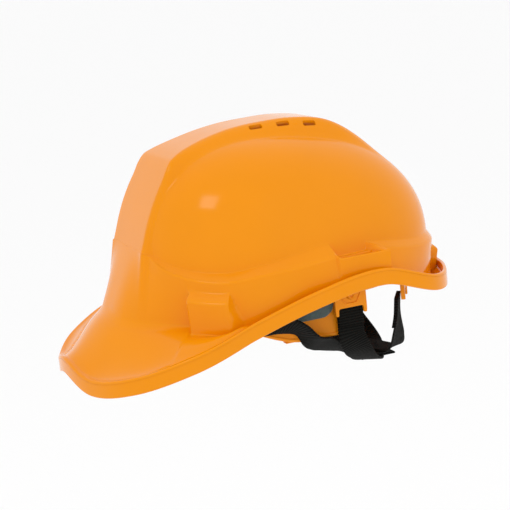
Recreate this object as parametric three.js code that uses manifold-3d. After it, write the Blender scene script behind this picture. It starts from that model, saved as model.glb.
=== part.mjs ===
// Forestry helmet: vented shell with peak and rain gutter, webbing cradle on six clips,
// perforated headband with sweatband, and a size strap drawn in by a ratchet knob.
// Millimetres. +X is the wearer's left, +Y the back of the head, +Z up.
// The origin is the centre of the head opening, on the level of the rim.
import * as THREE from "three";
import { mergeVertices } from "three/addons/utils/BufferGeometryUtils.js";
import Module from "manifold-3d";

const wasm = await Module();
wasm.setup();

const DEG = Math.PI / 180;
const GAP = 0.3;

// ---------------------------------------------------------------- driving dimensions
const SKIN = 2.5;
const LIP = 3;
const RIM_HEIGHT = 11.8;
const GUTTER_DEPTH = 5;
const CENTRE_Z = 30;
const DOME_HALF_WIDTH = 87;
const DOME_FRONT = 96;
const DOME_REAR = 130.5;
const DOME_TOP = 119.5;
const PLAN_POWER = 2.2;
const SOCKET = { inner: 88, pocketIn: 89.5, pocketOut: 94, outer: 95.5, front: 25, back: 64, wall: 3,
  base: 17, floor: 20, top: 36, innerTop: 40 };
const VENT = { width: 4, length: 9.6, depth: 14, x: 23, lean: 28,
  places: [[2.5, 122], [23, 121], [43, 118]] };
const WEB_WIDTH = 19.5;
const WEB_THICKNESS = 1.4;
const KNOB_AXIS_Z = 14;
const KNOB = { radius: 11, notch: 0.9, depth: 8.5 };

// Curves round the helmet, as [degrees from the front, value, ...]; they mirror left to right.
const RIM = [[0, 149.9, -19], [16.5, 149.4, -26.8], [33, 146.5, -21.1], [49.5, 134.1, -9.1],
  [68, 107, 4.8], [95, 103, 19.3], [120, 114.6, 24.7], [139, 134.3, 10.9], [159, 137.4, 7.1],
  [180, 139.1, 5.8]];
const FOOT = [[0, 113, 9], [13, 113.6, 6.2], [40, 99, 2], [63, 98, 0], [78, 95.5, 4], [95, 95.4, 15.5],
  [120, 107, 20.5], [139, 121.5, 3.5], [159, 126, -2.5], [180, 127, -2]];
const SHELF_HEIGHT = [[0, 52], [20, 52], [31, 45], [41, 40.5], [50, 38], [58, 37], [71, 39], [84, 42],
  [97, 45], [105, 45.5], [129, 40], [150, 33], [180, 31]];
const SHELF_STEP = [[0, 0.6, 1], [17, 0.6, 1], [22, 1.6, 1.2], [30, 4.4, 3.2], [50, 7.5, 5], [75, 8, 6],
  [100, 8.3, 9], [126, 5, 6], [150, 4, 6], [180, 4, 7]];
const GUTTER = [[0, 0], [60, 0], [70, 1], [180, 1]];
const DOME_ROUNDNESS = [[0, 2.7], [40, 2.5], [90, 2.3], [140, 2.1], [180, 2.15]];

// The crown ridge seen from the side, as [degrees up from the front, distance from the centre],
// and where its flat top ends and its flanks end, as [degrees up, half width, half width].
const RIDGE = [[0, 104.5], [10, 97], [22, 95.7], [41, 98.7], [50.5, 102.7], [54, 102], [66, 97.9],
  [80, 95.8], [95, 96.5], [109, 101.3], [123, 107.9], [138, 111.6], [150, 114.5], [165, 120.5],
  [180, 121.9]];
const RIDGE_HALF_WIDTH = [[0, 32, 38.7], [45, 31, 38], [60, 22, 35], [80, 17, 32], [120, 16, 31],
  [180, 14, 30]];

// Side bosses above the peak and the bump at the back: degrees round, and how far up the wall.
const BOSS = { from: 43.5, to: 58.5, edge: 1.8, rearEdge: 4, proud: 8.5, top: 0.58, slope: 0.2 };
const BUMP = { from: 165, edge: 3, proud: 5, top: 0.75, slope: 0.2 };

// ---------------------------------------------------------------- small maths helpers
function smooth(from, to, value) {
  const t = Math.min(1, Math.max(0, (value - from) / (to - from)));
  return t * t * (3 - 2 * t);
}

// A smooth curve through keys of [position, value], flat at both ends.
function through(keys, column, at) {
  const last = keys.length - 1;
  const x = Math.min(keys[last][0], Math.max(keys[0][0], at));
  let i = 0;
  while (i < last - 1 && keys[i + 1][0] < x) {
    i += 1;
  }
  const slope = (k) => {
    if (k === 0 || k === last) {
      return 0;
    }
    return (keys[k + 1][column] - keys[k - 1][column]) / (keys[k + 1][0] - keys[k - 1][0]);
  };
  const width = keys[i + 1][0] - keys[i][0];
  const t = (x - keys[i][0]) / width;
  const t2 = t * t;
  const t3 = t2 * t;
  return (2 * t3 - 3 * t2 + 1) * keys[i][column] + (t3 - 2 * t2 + t) * width * slope(i)
    + (3 * t2 - 2 * t3) * keys[i + 1][column] + (t3 - t2) * width * slope(i + 1);
}

// ---------------------------------------------------------------- mesh helpers
function solidOf(geometry) {
  const bare = geometry.clone();
  bare.deleteAttribute("normal");
  bare.deleteAttribute("uv");
  const merged = mergeVertices(bare, 1e-4);
  const vertProperties = new Float32Array(merged.attributes.position.array);
  const triVerts = new Uint32Array(merged.index.array);
  return new wasm.Manifold(new wasm.Mesh({ numProp: 3, vertProperties, triVerts }));
}

function geometryOf(solid) {
  const mesh = solid.getMesh();
  const geometry = new THREE.BufferGeometry();
  geometry.setAttribute("position", new THREE.BufferAttribute(new Float32Array(mesh.vertProperties), 3));
  geometry.setIndex(new THREE.BufferAttribute(new Uint32Array(mesh.triVerts), 1));
  return geometry;
}

function boxBetween(low, high) {
  const box = new THREE.BoxGeometry(high[0] - low[0], high[1] - low[1], high[2] - low[2]);
  return box.translate((low[0] + high[0]) / 2, (low[1] + high[1]) / 2, (low[2] + high[2]) / 2);
}

// A closed skin from rings of points: each ring has the same count; the ends are single points.
function loft(firstPoint, rings, lastPoint) {
  const count = rings[0].length;
  const positions = [...firstPoint];
  for (const ring of rings) {
    for (const point of ring) {
      positions.push(...point);
    }
  }
  positions.push(...lastPoint);
  const end = 1 + rings.length * count;
  const index = [];
  for (let i = 0; i < count; i += 1) {
    const j = (i + 1) % count;
    index.push(0, 1 + i, 1 + j);
    const last = 1 + (rings.length - 1) * count;
    index.push(last + i, end, last + j);
  }
  index.push(...sideFaces(rings.length, count, 1));
  return indexed(positions, index);
}

function sideFaces(ringCount, count, first) {
  const index = [];
  for (let r = 0; r < ringCount - 1; r += 1) {
    const a = first + r * count;
    const b = a + count;
    for (let i = 0; i < count; i += 1) {
      const j = (i + 1) % count;
      index.push(a + i, b + i, b + j, a + i, b + j, a + j);
    }
  }
  return index;
}

function indexed(positions, index) {
  const geometry = new THREE.BufferGeometry();
  geometry.setAttribute("position", new THREE.Float32BufferAttribute(positions, 3));
  geometry.setIndex(index);
  return geometry;
}

// A bar of constant section swept through stations, each {at, across, out}: the section's
// corners are [across, out] pairs, anticlockwise.
function sweep(stations, section) {
  const count = section.length;
  const positions = stations.flatMap((s) => section.flatMap(([a, o]) => [
    s.at.x + s.across.x * a + s.out.x * o,
    s.at.y + s.across.y * a + s.out.y * o,
    s.at.z + s.across.z * a + s.out.z * o,
  ]));
  const caps = THREE.ShapeUtils.triangulateShape(section.map(([a, o]) => new THREE.Vector2(a, o)), []);
  const last = (stations.length - 1) * count;
  const index = sideFaces(stations.length, count, 0);
  for (const [a, b, c] of caps) {
    index.push(a, b, c, last + a, last + c, last + b);
  }
  return indexed(positions, index);
}

// Turns a closed geometry right side out.
function facingOut(geometry) {
  const p = geometry.attributes.position;
  const index = geometry.index.array;
  const a = new THREE.Vector3();
  const b = new THREE.Vector3();
  const c = new THREE.Vector3();
  let volume = 0;
  for (let i = 0; i < index.length; i += 3) {
    a.fromBufferAttribute(p, index[i]);
    b.fromBufferAttribute(p, index[i + 1]);
    c.fromBufferAttribute(p, index[i + 2]);
    volume += a.dot(b.cross(c));
  }
  if (volume < 0) {
    for (let i = 0; i < index.length; i += 3) {
      const swap = index[i + 1];
      index[i + 1] = index[i + 2];
      index[i + 2] = swap;
    }
  }
  return geometry;
}

// ---------------------------------------------------------------- shell surface
// Distance from the centre to the dome in a direction given by angle round and angle up.
function domeReach(angle, up) {
  const side = Math.sin(angle);
  const along = Math.cos(angle);
  const length = along > 0 ? DOME_FRONT : DOME_REAR;
  const plan = (Math.abs(side / DOME_HALF_WIDTH) ** PLAN_POWER
    + Math.abs(along / length) ** PLAN_POWER) ** (-1 / PLAN_POWER);
  const n = through(DOME_ROUNDNESS, 1, angle / DEG);
  const petal = (Math.abs(Math.cos(up) / plan) ** n
    + Math.abs(Math.sin(up) / (DOME_TOP - CENTRE_Z)) ** n) ** (-1 / n);
  const forward = Math.cos(up) * along;
  const rise = Math.sin(up);
  const tilt = Math.atan2(rise, forward) / DEG;
  const ridge = through(RIDGE, 1, tilt) / Math.hypot(forward, rise);
  const x = petal * Math.cos(up) * side;
  const mask = 1 - smooth(through(RIDGE_HALF_WIDTH, 1, tilt), through(RIDGE_HALF_WIDTH, 2, tilt), x);
  return petal + (ridge - petal) * mask;
}

// The angle up at which the dome meets the shelf.
function shelfAngle(angle) {
  const height = through(SHELF_HEIGHT, 1, angle / DEG);
  let low = 0;
  let high = 60 * DEG;
  for (let k = 0; k < 40; k += 1) {
    const middle = (low + high) / 2;
    if (CENTRE_Z + domeReach(angle, middle) * Math.sin(middle) < height) {
      low = middle;
    } else {
      high = middle;
    }
  }
  return (low + high) / 2;
}

// One half section of the shell at an angle round, as [radius, height] from the crown out over the
// rim and back inside to the crown.
function shellSection(angle, domeSteps, wallLevels, peakSteps) {
  const degrees = angle / DEG;
  const start = shelfAngle(angle);
  const dome = [];
  for (let k = 1; k <= domeSteps; k += 1) {
    const up = Math.PI / 2 + (start - Math.PI / 2) * (k / domeSteps);
    const reach = domeReach(angle, up);
    dome.push([reach, up]);
  }
  const outerDome = dome.map(([reach, up]) => [reach * Math.cos(up), CENTRE_Z + reach * Math.sin(up)]);
  const innerDome = dome.map(([reach, up]) => [(reach - SKIN) * Math.cos(up),
    CENTRE_Z + (reach - SKIN) * Math.sin(up)]);
  const shelf = outerDome[domeSteps - 1];
  const root = [shelf[0] + 0.2, shelf[1] - 0.6];
  const edge = [shelf[0] + through(SHELF_STEP, 1, degrees), shelf[1] - through(SHELF_STEP, 2, degrees)];
  const foot = [through(FOOT, 1, degrees), through(FOOT, 2, degrees)];
  const boss = smooth(BOSS.from - BOSS.edge, BOSS.from, degrees)
    * (1 - smooth(BOSS.to, BOSS.to + BOSS.rearEdge, degrees));
  const bump = smooth(BUMP.from - BUMP.edge, BUMP.from, degrees);
  const wall = wallLevels.map((level) => {
    const proud = boss * BOSS.proud * (1 - smooth(BOSS.top, BOSS.top + BOSS.slope, level))
      + bump * BUMP.proud * (1 - smooth(BUMP.top, BUMP.top + BUMP.slope, level));
    const drop = level < 0.1 ? 0.35 * proud : 0;
    return [foot[0] + (edge[0] - foot[0]) * level + proud, foot[1] + (edge[1] - foot[1]) * level - drop];
  });
  const base = wall[wall.length - 1];
  const rim = [through(RIM, 1, degrees), through(RIM, 2, degrees)];
  const gutter = through(GUTTER, 1, degrees);
  const lipTop = [rim[0] - LIP, rim[1]];
  const floor = [];
  for (let k = 1; k <= peakSteps; k += 1) {
    const t = k / peakSteps;
    const low = rim[1] - GUTTER_DEPTH * gutter;
    const width = lipTop[0] - 0.6 * gutter - base[0];
    const arch = (1 - gutter) * 3 * Math.sin(Math.PI * t);
    floor.push([base[0] + width * t, base[1] + (low - base[1]) * smooth(0, 1, 0.15 + 0.85 * t) + arch]);
  }
  const under = floor.map(([r, z]) => [r, z - SKIN]);
  const lastUnder = under[under.length - 1];
  lastUnder[0] = lipTop[0] - 0.3;
  const rimOuter = [[lipTop[0] + 0.4, rim[1] + 0.1], [rim[0] - 0.8, rim[1] - 0.3], [rim[0], rim[1] - 2],
    [rim[0], rim[1] - RIM_HEIGHT], [lipTop[0], rim[1] - RIM_HEIGHT]];
  const innerWall = wall.map(([r, z], k) => [r - SKIN, z - (k === 0 ? SKIN : SKIN * 0.6)]);
  const innerRoot = [root[0] - SKIN, root[1] - SKIN * 0.4];
  return [...outerDome, root, ...wall, ...floor, ...rimOuter, ...under.reverse(),
    ...innerWall.reverse(), innerRoot, ...innerDome.reverse()];
}

// Angles at which the shell is cut into sections, closer where its features are.
function shellAngles() {
  const half = [];
  for (let d = 0; d <= 36; d += 6) {
    half.push(d);
  }
  half.push(41.7, 43.5, 47, 51, 55, 58.5, 62.5, 67, 72);
  for (let d = 79; d <= 156; d += 7) {
    half.push(d);
  }
  half.push(162, 165, 172, 180);
  const round = half.slice(1, -1).map((d) => 360 - d).reverse();
  return [...half, ...round].map((d) => d * DEG);
}

function shellBody() {
  const wallLevels = [1, 0.79, 0.58, 0.3, 0];
  const sections = shellAngles().map((angle) => {
    const folded = angle > Math.PI ? 2 * Math.PI - angle : angle;
    return shellSection(folded, 15, wallLevels, 3).map(([r, z]) => [
      r * Math.sin(angle), -r * Math.cos(angle), z]);
  });
  const rings = sections[0].map((_, row) => sections.map((section) => section[row]));
  const top = CENTRE_Z + domeReach(0, Math.PI / 2);
  return facingOut(loft([0, 0, top], rings, [0, 0, top - SKIN]));
}

function ventCutter(side, y, z) {
  const slot = new THREE.BoxGeometry(VENT.width, VENT.length, VENT.depth);
  slot.rotateY(side * VENT.lean * DEG);
  return slot.translate(side * VENT.x, y, z);
}

// A box on one side of the helmet, from x inner to x outer on that side.
function sideBox(side, inner, outer, front, back, low, high) {
  const left = Math.min(side * inner, side * outer);
  const right = Math.max(side * inner, side * outer);
  return solidOf(boxBetween([left, front, low], [right, back, high]));
}

function shell() {
  let solid = solidOf(shellBody());
  for (const side of [-1, 1]) {
    const { inner, pocketIn, pocketOut, outer, front, back, wall, base, floor, top, innerTop } = SOCKET;
    solid = solid.add(sideBox(side, inner, outer, front, back, base, top));
    solid = solid.add(sideBox(side, inner, pocketIn + 0.5, front, back, base, innerTop));
    solid = solid.subtract(sideBox(side, pocketIn, pocketOut, front + wall, back - wall, floor, top + 30));
    for (const [y, z] of VENT.places) {
      solid = solid.subtract(solidOf(ventCutter(side, y, z)));
    }
  }
  return geometryOf(solid);
}

// ---------------------------------------------------------------- suspension clips
// A flat outline in the (along, up) plane made into a plate of a given thickness.
function plate(outline, holes, thickness) {
  const shape = new THREE.Shape(outline.map(([a, u]) => new THREE.Vector2(a, u)));
  shape.holes.push(...holes);
  return new THREE.ExtrudeGeometry(shape, { depth: thickness, bevelEnabled: false, curveSegments: 5 });
}

// Stands a plate up: its outline's x runs along +Y, its thickness along +X.
function standing(geometry) {
  return geometry.applyMatrix4(new THREE.Matrix4().makeBasis(
    new THREE.Vector3(0, 1, 0), new THREE.Vector3(0, 0, 1), new THREE.Vector3(1, 0, 0)));
}

function mirrored(geometry) {
  const bare = geometry.clone().scale(-1, 1, 1);
  bare.deleteAttribute("normal");
  bare.deleteAttribute("uv");
  return facingOut(mergeVertices(bare, 1e-4));
}

function slotHole(along, low, high, radius) {
  const hole = new THREE.Path();
  hole.absarc(along, high, radius, 0, Math.PI, false);
  hole.absarc(along, low, radius, Math.PI, 2 * Math.PI, false);
  return hole;
}

const CLIP_X = 77;
const CLIP_PLATE = 3;
const CLIP_Y = 37.5;
const STUD_Z = 6;
const STUD_RADIUS = 1.4;
const HEIGHT_TRAVEL = 8;
const FRONT_CLIP = { angle: 51, reach: 92, low: -8, high: 18, keyReach: 100 };
const REAR_CLIP = { angle: 148, reach: 104.5, low: -9.5, high: 14, keyReach: 113 };

// The side clip is a plate with a slot for the headband's stud and two legs that hold the web.
function sideClip() {
  const front = [[-12, 22], [-12, -5], [-11.6, -8], [-9.6, -8], [-9.3, -4], [-8, -2.8]];
  const back = front.map(([a, u]) => [-a, u]).reverse();
  const outline = [...front, ...back];
  const slot = slotHole(0, STUD_Z, STUD_Z + HEIGHT_TRAVEL, STUD_RADIUS + 0.4);
  const body = standing(plate(outline, [slot], CLIP_PLATE)).translate(CLIP_X, CLIP_Y, 0);
  const key = boxBetween([CLIP_X + 1, CLIP_Y - 8, 18], [SOCKET.inner - GAP, CLIP_Y + 8, 22]);
  return geometryOf(solidOf(body).add(solidOf(key)));
}

// Clips at the front and rear are plates that face out along a line from the centre.
function roundClip({ angle, reach, low, high, keyReach }) {
  const half = WEB_WIDTH / 2 + 0.25;
  const left = [[-half, high], [-half, low + 8], [-half + 1, low], [-half + 3.5, low],
    [-half + 4, low + 7.5]];
  const right = left.map(([a, u]) => [-a, u]).reverse();
  const outline = [...left, ...right];
  const body = standing(plate(outline, [], CLIP_PLATE)).translate(reach, 0, 0);
  const key = boxBetween([reach + 1, -half + 3, high - 8], [keyReach, half - 3, high - 2]);
  const whole = geometryOf(solidOf(body).add(solidOf(key)));
  return whole.rotateZ(angle * DEG - Math.PI / 2);
}

// ---------------------------------------------------------------- webbing cradle
const CROWN = [0, 84];
const CROWN_LEVEL = { side: -59, left: -56.4, right: -54, patch: -61.2 };
const WEB_SECTION = [[-WEB_WIDTH / 2, -WEB_THICKNESS / 2], [WEB_WIDTH / 2, -WEB_THICKNESS / 2],
  [WEB_WIDTH / 2, WEB_THICKNESS / 2], [-WEB_WIDTH / 2, WEB_THICKNESS / 2]];

// A strap through hand-placed [point, width direction] pairs.
function strap(pairs, section, steps) {
  const curve = new THREE.CatmullRomCurve3(pairs.map(([p]) => new THREE.Vector3(...p)), false, "centripetal");
  const widths = new THREE.CatmullRomCurve3(pairs.map(([, w]) => new THREE.Vector3(...w)));
  const stations = [];
  for (let k = 0; k <= steps; k += 1) {
    const t = k / steps;
    const along = curve.getTangent(t);
    const across = widths.getPoint(t);
    across.addScaledVector(along, -across.dot(along)).normalize();
    stations.push({ at: curve.getPoint(t), across, out: new THREE.Vector3().crossVectors(along, across) });
  }
  return facingOut(sweep(stations, section));
}

function sideWeb() {
  const half = [
    [[76.05, 37.5, -3.2], [0, 1, 0]],
    [[76.05, 37.5, -14], [0, 1, 0]],
    [[75.8, 37.8, -24], [0, 1, 0]],
    [[72, 42.5, -34.5], [0.2, 0.95, 0.1]],
    [[60, 52, -45], [0.5, 0.85, 0.05]],
    [[40, 64.5, -54], [0.55, 0.83, 0]],
    [[22, 74.5, CROWN_LEVEL.side], [0.4, 0.9, 0]],
  ];
  const other = half.map(([p, w]) => [[-p[0], p[1], p[2]], [-w[0], w[1], w[2]]]).reverse();
  const middle = [[CROWN[0], CROWN[1] - 2, CROWN_LEVEL.side], [0, 1, 0]];
  return strap([...half, middle, ...other], WEB_SECTION, 36);
}

// From a front clip, down outside the headband, under it to the crown, and up to the rear clip
// on the other side.
function diagonalWeb(side, level) {
  const pairs = [
    [[68.6, -57, 2], [0, 0, 1]],
    [[75.5, -48.5, 0.5], [0, 0, 1]],
    [[81, -34, -1.5], [0.25, 0, 1]],
    [[84, -17, -4], [0.6, 0, 0.8]],
    [[85, -4, -10], [0.82, 0, 0.55]],
    [[82.8, 5, -19], [0.86, 0.05, 0.48]],
    [[72.5, 16, -26.5], [0.8, 0.2, 0.5]],
    [[62, 27.5, -33], [0.75, 0.5, 0.3]],
    [[51, 40, -39.5], [0.7, 0.7, 0.1]],
    [[38, 53, -46], [0.66, 0.74, 0]],
    [[19, 73.5, level], [0.5, 0.86, 0]],
    [[0, CROWN[1], level], [0.44, 0.88, 0]],
    [[-19, 92, level], [0.44, 0.9, 0]],
    [[-36, 89.5, -46.5], [0.6, 0.78, 0.1]],
    [[-47, 86.2, -34], [0.72, 0.65, 0]],
    [[-52, 86, -18], [0.85, 0.53, 0]],
    [[-53.2, 86.6, -8], [0.85, 0.53, 0]],
  ];
  const placed = pairs.map(([p, w]) => [[side * p[0], p[1], p[2]], [side * w[0], w[1], w[2]]]);
  return strap(placed, WEB_SECTION, 40);
}

// The pad sewn under the crossing of the webs.
function crownPatch() {
  const half = WEB_THICKNESS / 2;
  const [x, y] = CROWN;
  return boxBetween([x - 17, y - 15, CROWN_LEVEL.patch - half], [x + 17, y + 13, CROWN_LEVEL.patch + half]);
}

// ---------------------------------------------------------------- headband
const BAND = { x: 72.6, frontCentre: -12, frontReach: 80, back: 46, thickness: 1.2, height: 33.4, top: 11,
  frontLift: 19, liftFrom: 5, liftTo: -60, steps: [5, 0, -6] };
const BAND_HOLES = { count: 7, first: 11, spacing: 13.7, belowTop: 28.4, halfWidth: 2, halfHeight: 3.4 };
const PAD = { inside: 4.5, outside: 1.6, down: 19, back: 27, foamBack: -2 };
const GUIDE = { front: -10, back: -2, low: -21.8, high: -8.6, depth: 6, wall: 1.3 };

function bandTop(y) {
  return BAND.top + BAND.frontLift * smooth(BAND.liftFrom, BAND.liftTo, y);
}

// Stations along the front half of the headband, from the wearer's left round to the right.
function bandStations(backY, steps) {
  const stations = [];
  const add = (x, y, outX, outY) => {
    stations.push({ at: new THREE.Vector3(x, y, bandTop(y)), across: new THREE.Vector3(outX, outY, 0),
      out: new THREE.Vector3(0, 0, 1) });
  };
  const along = [backY, ...BAND.steps.filter((y) => y < backY)];
  along.forEach((y) => add(BAND.x, y, 1, 0));
  for (let k = 0; k <= steps; k += 1) {
    const turn = Math.PI * (k / steps);
    const x = BAND.x * Math.cos(turn);
    const y = BAND.frontCentre - BAND.frontReach * Math.sin(turn);
    const out = new THREE.Vector2(x / BAND.x ** 2, (y - BAND.frontCentre) / BAND.frontReach ** 2).normalize();
    add(x, y, out.x, out.y);
  }
  along.reverse().forEach((y) => add(-BAND.x, y, -1, 0));
  return stations;
}

// A cutter of unit radius, lying along +X.
function holeCutter() {
  return new THREE.CylinderGeometry(1, 1, 12, 10).rotateX(Math.PI / 2).rotateZ(Math.PI / 2);
}

function headband() {
  const half = BAND.thickness / 2;
  const section = [[-half, -BAND.height], [half, -BAND.height], [half, 0], [-half, 0]];
  let solid = solidOf(facingOut(sweep(bandStations(BAND.back, 22), section)));
  for (const side of [-1, 1]) {
    for (let k = 0; k < BAND_HOLES.count; k += 1) {
      const y = BAND_HOLES.first - BAND_HOLES.spacing * k;
      const turn = Math.asin(Math.max(0, (BAND.frontCentre - y) / BAND.frontReach));
      const hole = holeCutter().scale(1, BAND_HOLES.halfWidth, BAND_HOLES.halfHeight).rotateZ(-turn);
      hole.translate(BAND.x * Math.cos(turn), y, bandTop(y) - BAND_HOLES.belowTop);
      solid = solid.subtract(solidOf(side > 0 ? hole : mirrored(hole)));
    }
  }
  return geometryOf(solid);
}

// The sweatband wraps over the top edge of the headband: foam inside, and a thin flap outside
// that runs further back.
function sweatband() {
  const half = BAND.thickness / 2 + GAP;
  const inner = -half - PAD.inside;
  const outer = half + PAD.outside;
  const top = GAP + PAD.outside;
  const foam = [[inner, -PAD.down], [-half, -PAD.down], [-half, GAP], [half, GAP], [half, top], [inner, top]];
  const flap = [[-half, GAP], [half, GAP], [half, -PAD.down], [outer, -PAD.down], [outer, top], [-half, top]];
  const inside = solidOf(facingOut(sweep(bandStations(PAD.foamBack, 22), foam)));
  const outside = solidOf(facingOut(sweep(bandStations(PAD.back, 22), flap)));
  return geometryOf(inside.add(outside));
}

// The block on the headband that carries the stud, against the inside of the side clip.
function hanger() {
  const inner = BAND.x + BAND.thickness / 2 + GAP;
  return boxBetween([inner, CLIP_Y - 5, STUD_Z - 4.8], [CLIP_X - GAP, CLIP_Y + 5, STUD_Z + 5.2]);
}

// The stud passes through the clip's slot, with a round head on the outside.
function hangerStud() {
  const under = CLIP_PLATE + 0.7;
  const head = STUD_RADIUS + 1.2;
  const profile = [[0, 0], [STUD_RADIUS, 0], [STUD_RADIUS, under], [head, under], [head, under + 0.7],
    [head - 0.7, under + 1.5], [0, under + 1.5]];
  const lathe = new THREE.LatheGeometry(profile.map(([r, h]) => new THREE.Vector2(r, h)), 16);
  return lathe.rotateZ(-Math.PI / 2).translate(CLIP_X, CLIP_Y, STUD_Z);
}

// A loop on the inside of the headband that the size strap slides through.
function sizeGuide() {
  const inner = BAND.x - BAND.thickness / 2 - GAP;
  const { front, back, low, high, depth, wall } = GUIDE;
  const outer = boxBetween([inner - depth, front, low], [inner, back, high]);
  const tunnel = boxBetween([inner - depth + wall, front - 1, low + wall],
    [inner + 5, back + 1, high - wall]);
  return geometryOf(solidOf(outer).subtract(solidOf(tunnel)));
}

// ---------------------------------------------------------------- size strap and ratchet
const REAR = { x: 67.9, front: -11, straight: 50, corner: 18.5, y: 98, layer: 1.8, thickness: 1.2,
  height: 10, rackHeight: 14, tail: -17 };
const STRAP_STEP = { low: -15.2, high: 9, from: 23, to: 50 };

// One strap runs back along the side below the sweatband, steps up behind it, and turns in behind
// the head to the knob.
function sizeStrap(side, y) {
  const stations = [];
  const add = (x, alongY, z, outX, outY, height) => stations.push({ x, y: alongY, z, outX, outY, height });
  add(REAR.x, REAR.front, STRAP_STEP.low, 1, 0, REAR.height);
  const rises = 8;
  for (let k = 0; k < rises; k += 1) {
    const at = STRAP_STEP.from + (STRAP_STEP.to - STRAP_STEP.from) * (k / rises);
    const rise = (STRAP_STEP.high - STRAP_STEP.low) * smooth(STRAP_STEP.from, STRAP_STEP.to, at);
    add(REAR.x, at, STRAP_STEP.low + rise, 1, 0, REAR.height);
  }
  const steps = 14;
  for (let k = 0; k <= steps; k += 1) {
    const turn = (Math.PI / 2) * (k / steps);
    const z = STRAP_STEP.high + (KNOB_AXIS_Z - STRAP_STEP.high) * smooth(0, 0.8, k / steps);
    const height = REAR.height + (REAR.rackHeight - REAR.height) * smooth(0, 0.6, k / steps);
    add(REAR.corner + (REAR.x - REAR.corner) * Math.cos(turn),
      REAR.straight + (y - REAR.straight) * Math.sin(turn), z, Math.cos(turn), Math.sin(turn), height);
  }
  add(REAR.tail, y, KNOB_AXIS_Z, 0, 1, REAR.rackHeight);
  const thick = REAR.thickness / 2;
  const corners = [[-thick, -1], [thick, -1], [thick, 1], [-thick, 1]];
  const rings = stations.map((s) => corners.map(([out, up]) => [
    s.x + s.outX * out, s.y + s.outY * out, s.z + (up * s.height) / 2]));
  const middle = (ring) => [0, 1, 2].map((k) => (ring[0][k] + ring[2][k]) / 2);
  const body = facingOut(loft(middle(rings[0]), rings, middle(rings[rings.length - 1])));
  const slot = boxBetween([-14, y - 3, KNOB_AXIS_Z - 4.2], [14, y + 3, KNOB_AXIS_Z + 4.2]);
  const strapBody = geometryOf(solidOf(body).subtract(solidOf(slot)));
  return side > 0 ? strapBody : mirrored(strapBody);
}

function roundBar(radius, from, to, sides) {
  const bar = new THREE.CylinderGeometry(radius, radius, to - from, sides);
  return bar.translate(0, (from + to) / 2, KNOB_AXIS_Z);
}

const HOUSING = { front: REAR.y - 3, back: REAR.y + 5, half: 23, low: 3.5, high: 24.5, tunnelHalf: 7.5 };
const COVER = { front: HOUSING.back + GAP, back: HOUSING.back + GAP + 3, halfWidth: 21, halfHeight: 9.8 };
const SPRING = { outer: 8, inner: 5, thickness: 0.8 };
const PINION = { radius: 3.4, shaft: 2.3, from: REAR.y - 0.9, drum: 5.6, length: 9.2 };

// Both straps cross in the housing's tunnel, with the pinion's drum between their racks.
function ratchetHousing() {
  const { front, back, half, low, high, tunnelHalf } = HOUSING;
  const body = boxBetween([-half, front, low], [half, back, high]);
  const tunnel = boxBetween([-half - 7, REAR.y - 1, KNOB_AXIS_Z - tunnelHalf],
    [half + 7, REAR.y + 3.2, KNOB_AXIS_Z + tunnelHalf]);
  const bore = roundBar(PINION.radius + 0.5, PINION.from - 0.6, back + 5, 20);
  return geometryOf(solidOf(body).subtract(solidOf(tunnel)).subtract(solidOf(bore)));
}

// An oval cover on the housing's back, with a recess on its inside for the detent spring.
function ratchetCover() {
  const outline = [];
  const sides = 24;
  for (let k = 0; k < sides; k += 1) {
    const turn = (2 * Math.PI * k) / sides;
    outline.push([COVER.halfWidth * Math.cos(turn), COVER.halfHeight * Math.sin(turn)]);
  }
  const thickness = COVER.back - COVER.front;
  const body = plate(outline, [], thickness).rotateX(Math.PI / 2).translate(0, COVER.back, KNOB_AXIS_Z);
  const recess = roundBar(SPRING.outer + 0.6, COVER.front - 1, COVER.front + 1.5, 24);
  const bore = roundBar(PINION.shaft + 0.4, COVER.front - 1, COVER.back + 1, 16);
  return geometryOf(solidOf(body).subtract(solidOf(recess)).subtract(solidOf(bore)));
}

function detentSpring() {
  const outline = new THREE.Shape();
  outline.absarc(0, 0, SPRING.outer, 0, 2 * Math.PI, false);
  const hole = new THREE.Path();
  hole.absarc(0, 0, SPRING.inner, 0, 2 * Math.PI, true);
  outline.holes.push(hole);
  const depth = SPRING.thickness;
  const ring = new THREE.ExtrudeGeometry(outline, { depth, bevelEnabled: false, curveSegments: 10 });
  return ring.rotateX(Math.PI / 2).translate(0, COVER.front + GAP + depth, KNOB_AXIS_Z);
}

function pinion() {
  const { radius, shaft, from, drum, length } = PINION;
  const profile = [[0, 0], [radius, 0], [radius, drum], [shaft, drum], [shaft, length], [0, length]];
  const lathe = new THREE.LatheGeometry(profile.map(([r, h]) => new THREE.Vector2(r, h)), 20);
  return lathe.translate(0, from, KNOB_AXIS_Z);
}

// A round knob with a notch at every fourth corner of its outline.
function sizeKnob() {
  const outline = [];
  const corners = 48;
  for (let k = 0; k < corners; k += 1) {
    const turn = (2 * Math.PI * k) / corners;
    const radius = KNOB.radius - (k % 4 === 0 ? KNOB.notch : 0);
    outline.push([radius * Math.cos(turn), radius * Math.sin(turn)]);
  }
  const back = COVER.back + GAP + KNOB.depth;
  return plate(outline, [], KNOB.depth).rotateX(Math.PI / 2).translate(0, back, KNOB_AXIS_Z);
}

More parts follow.
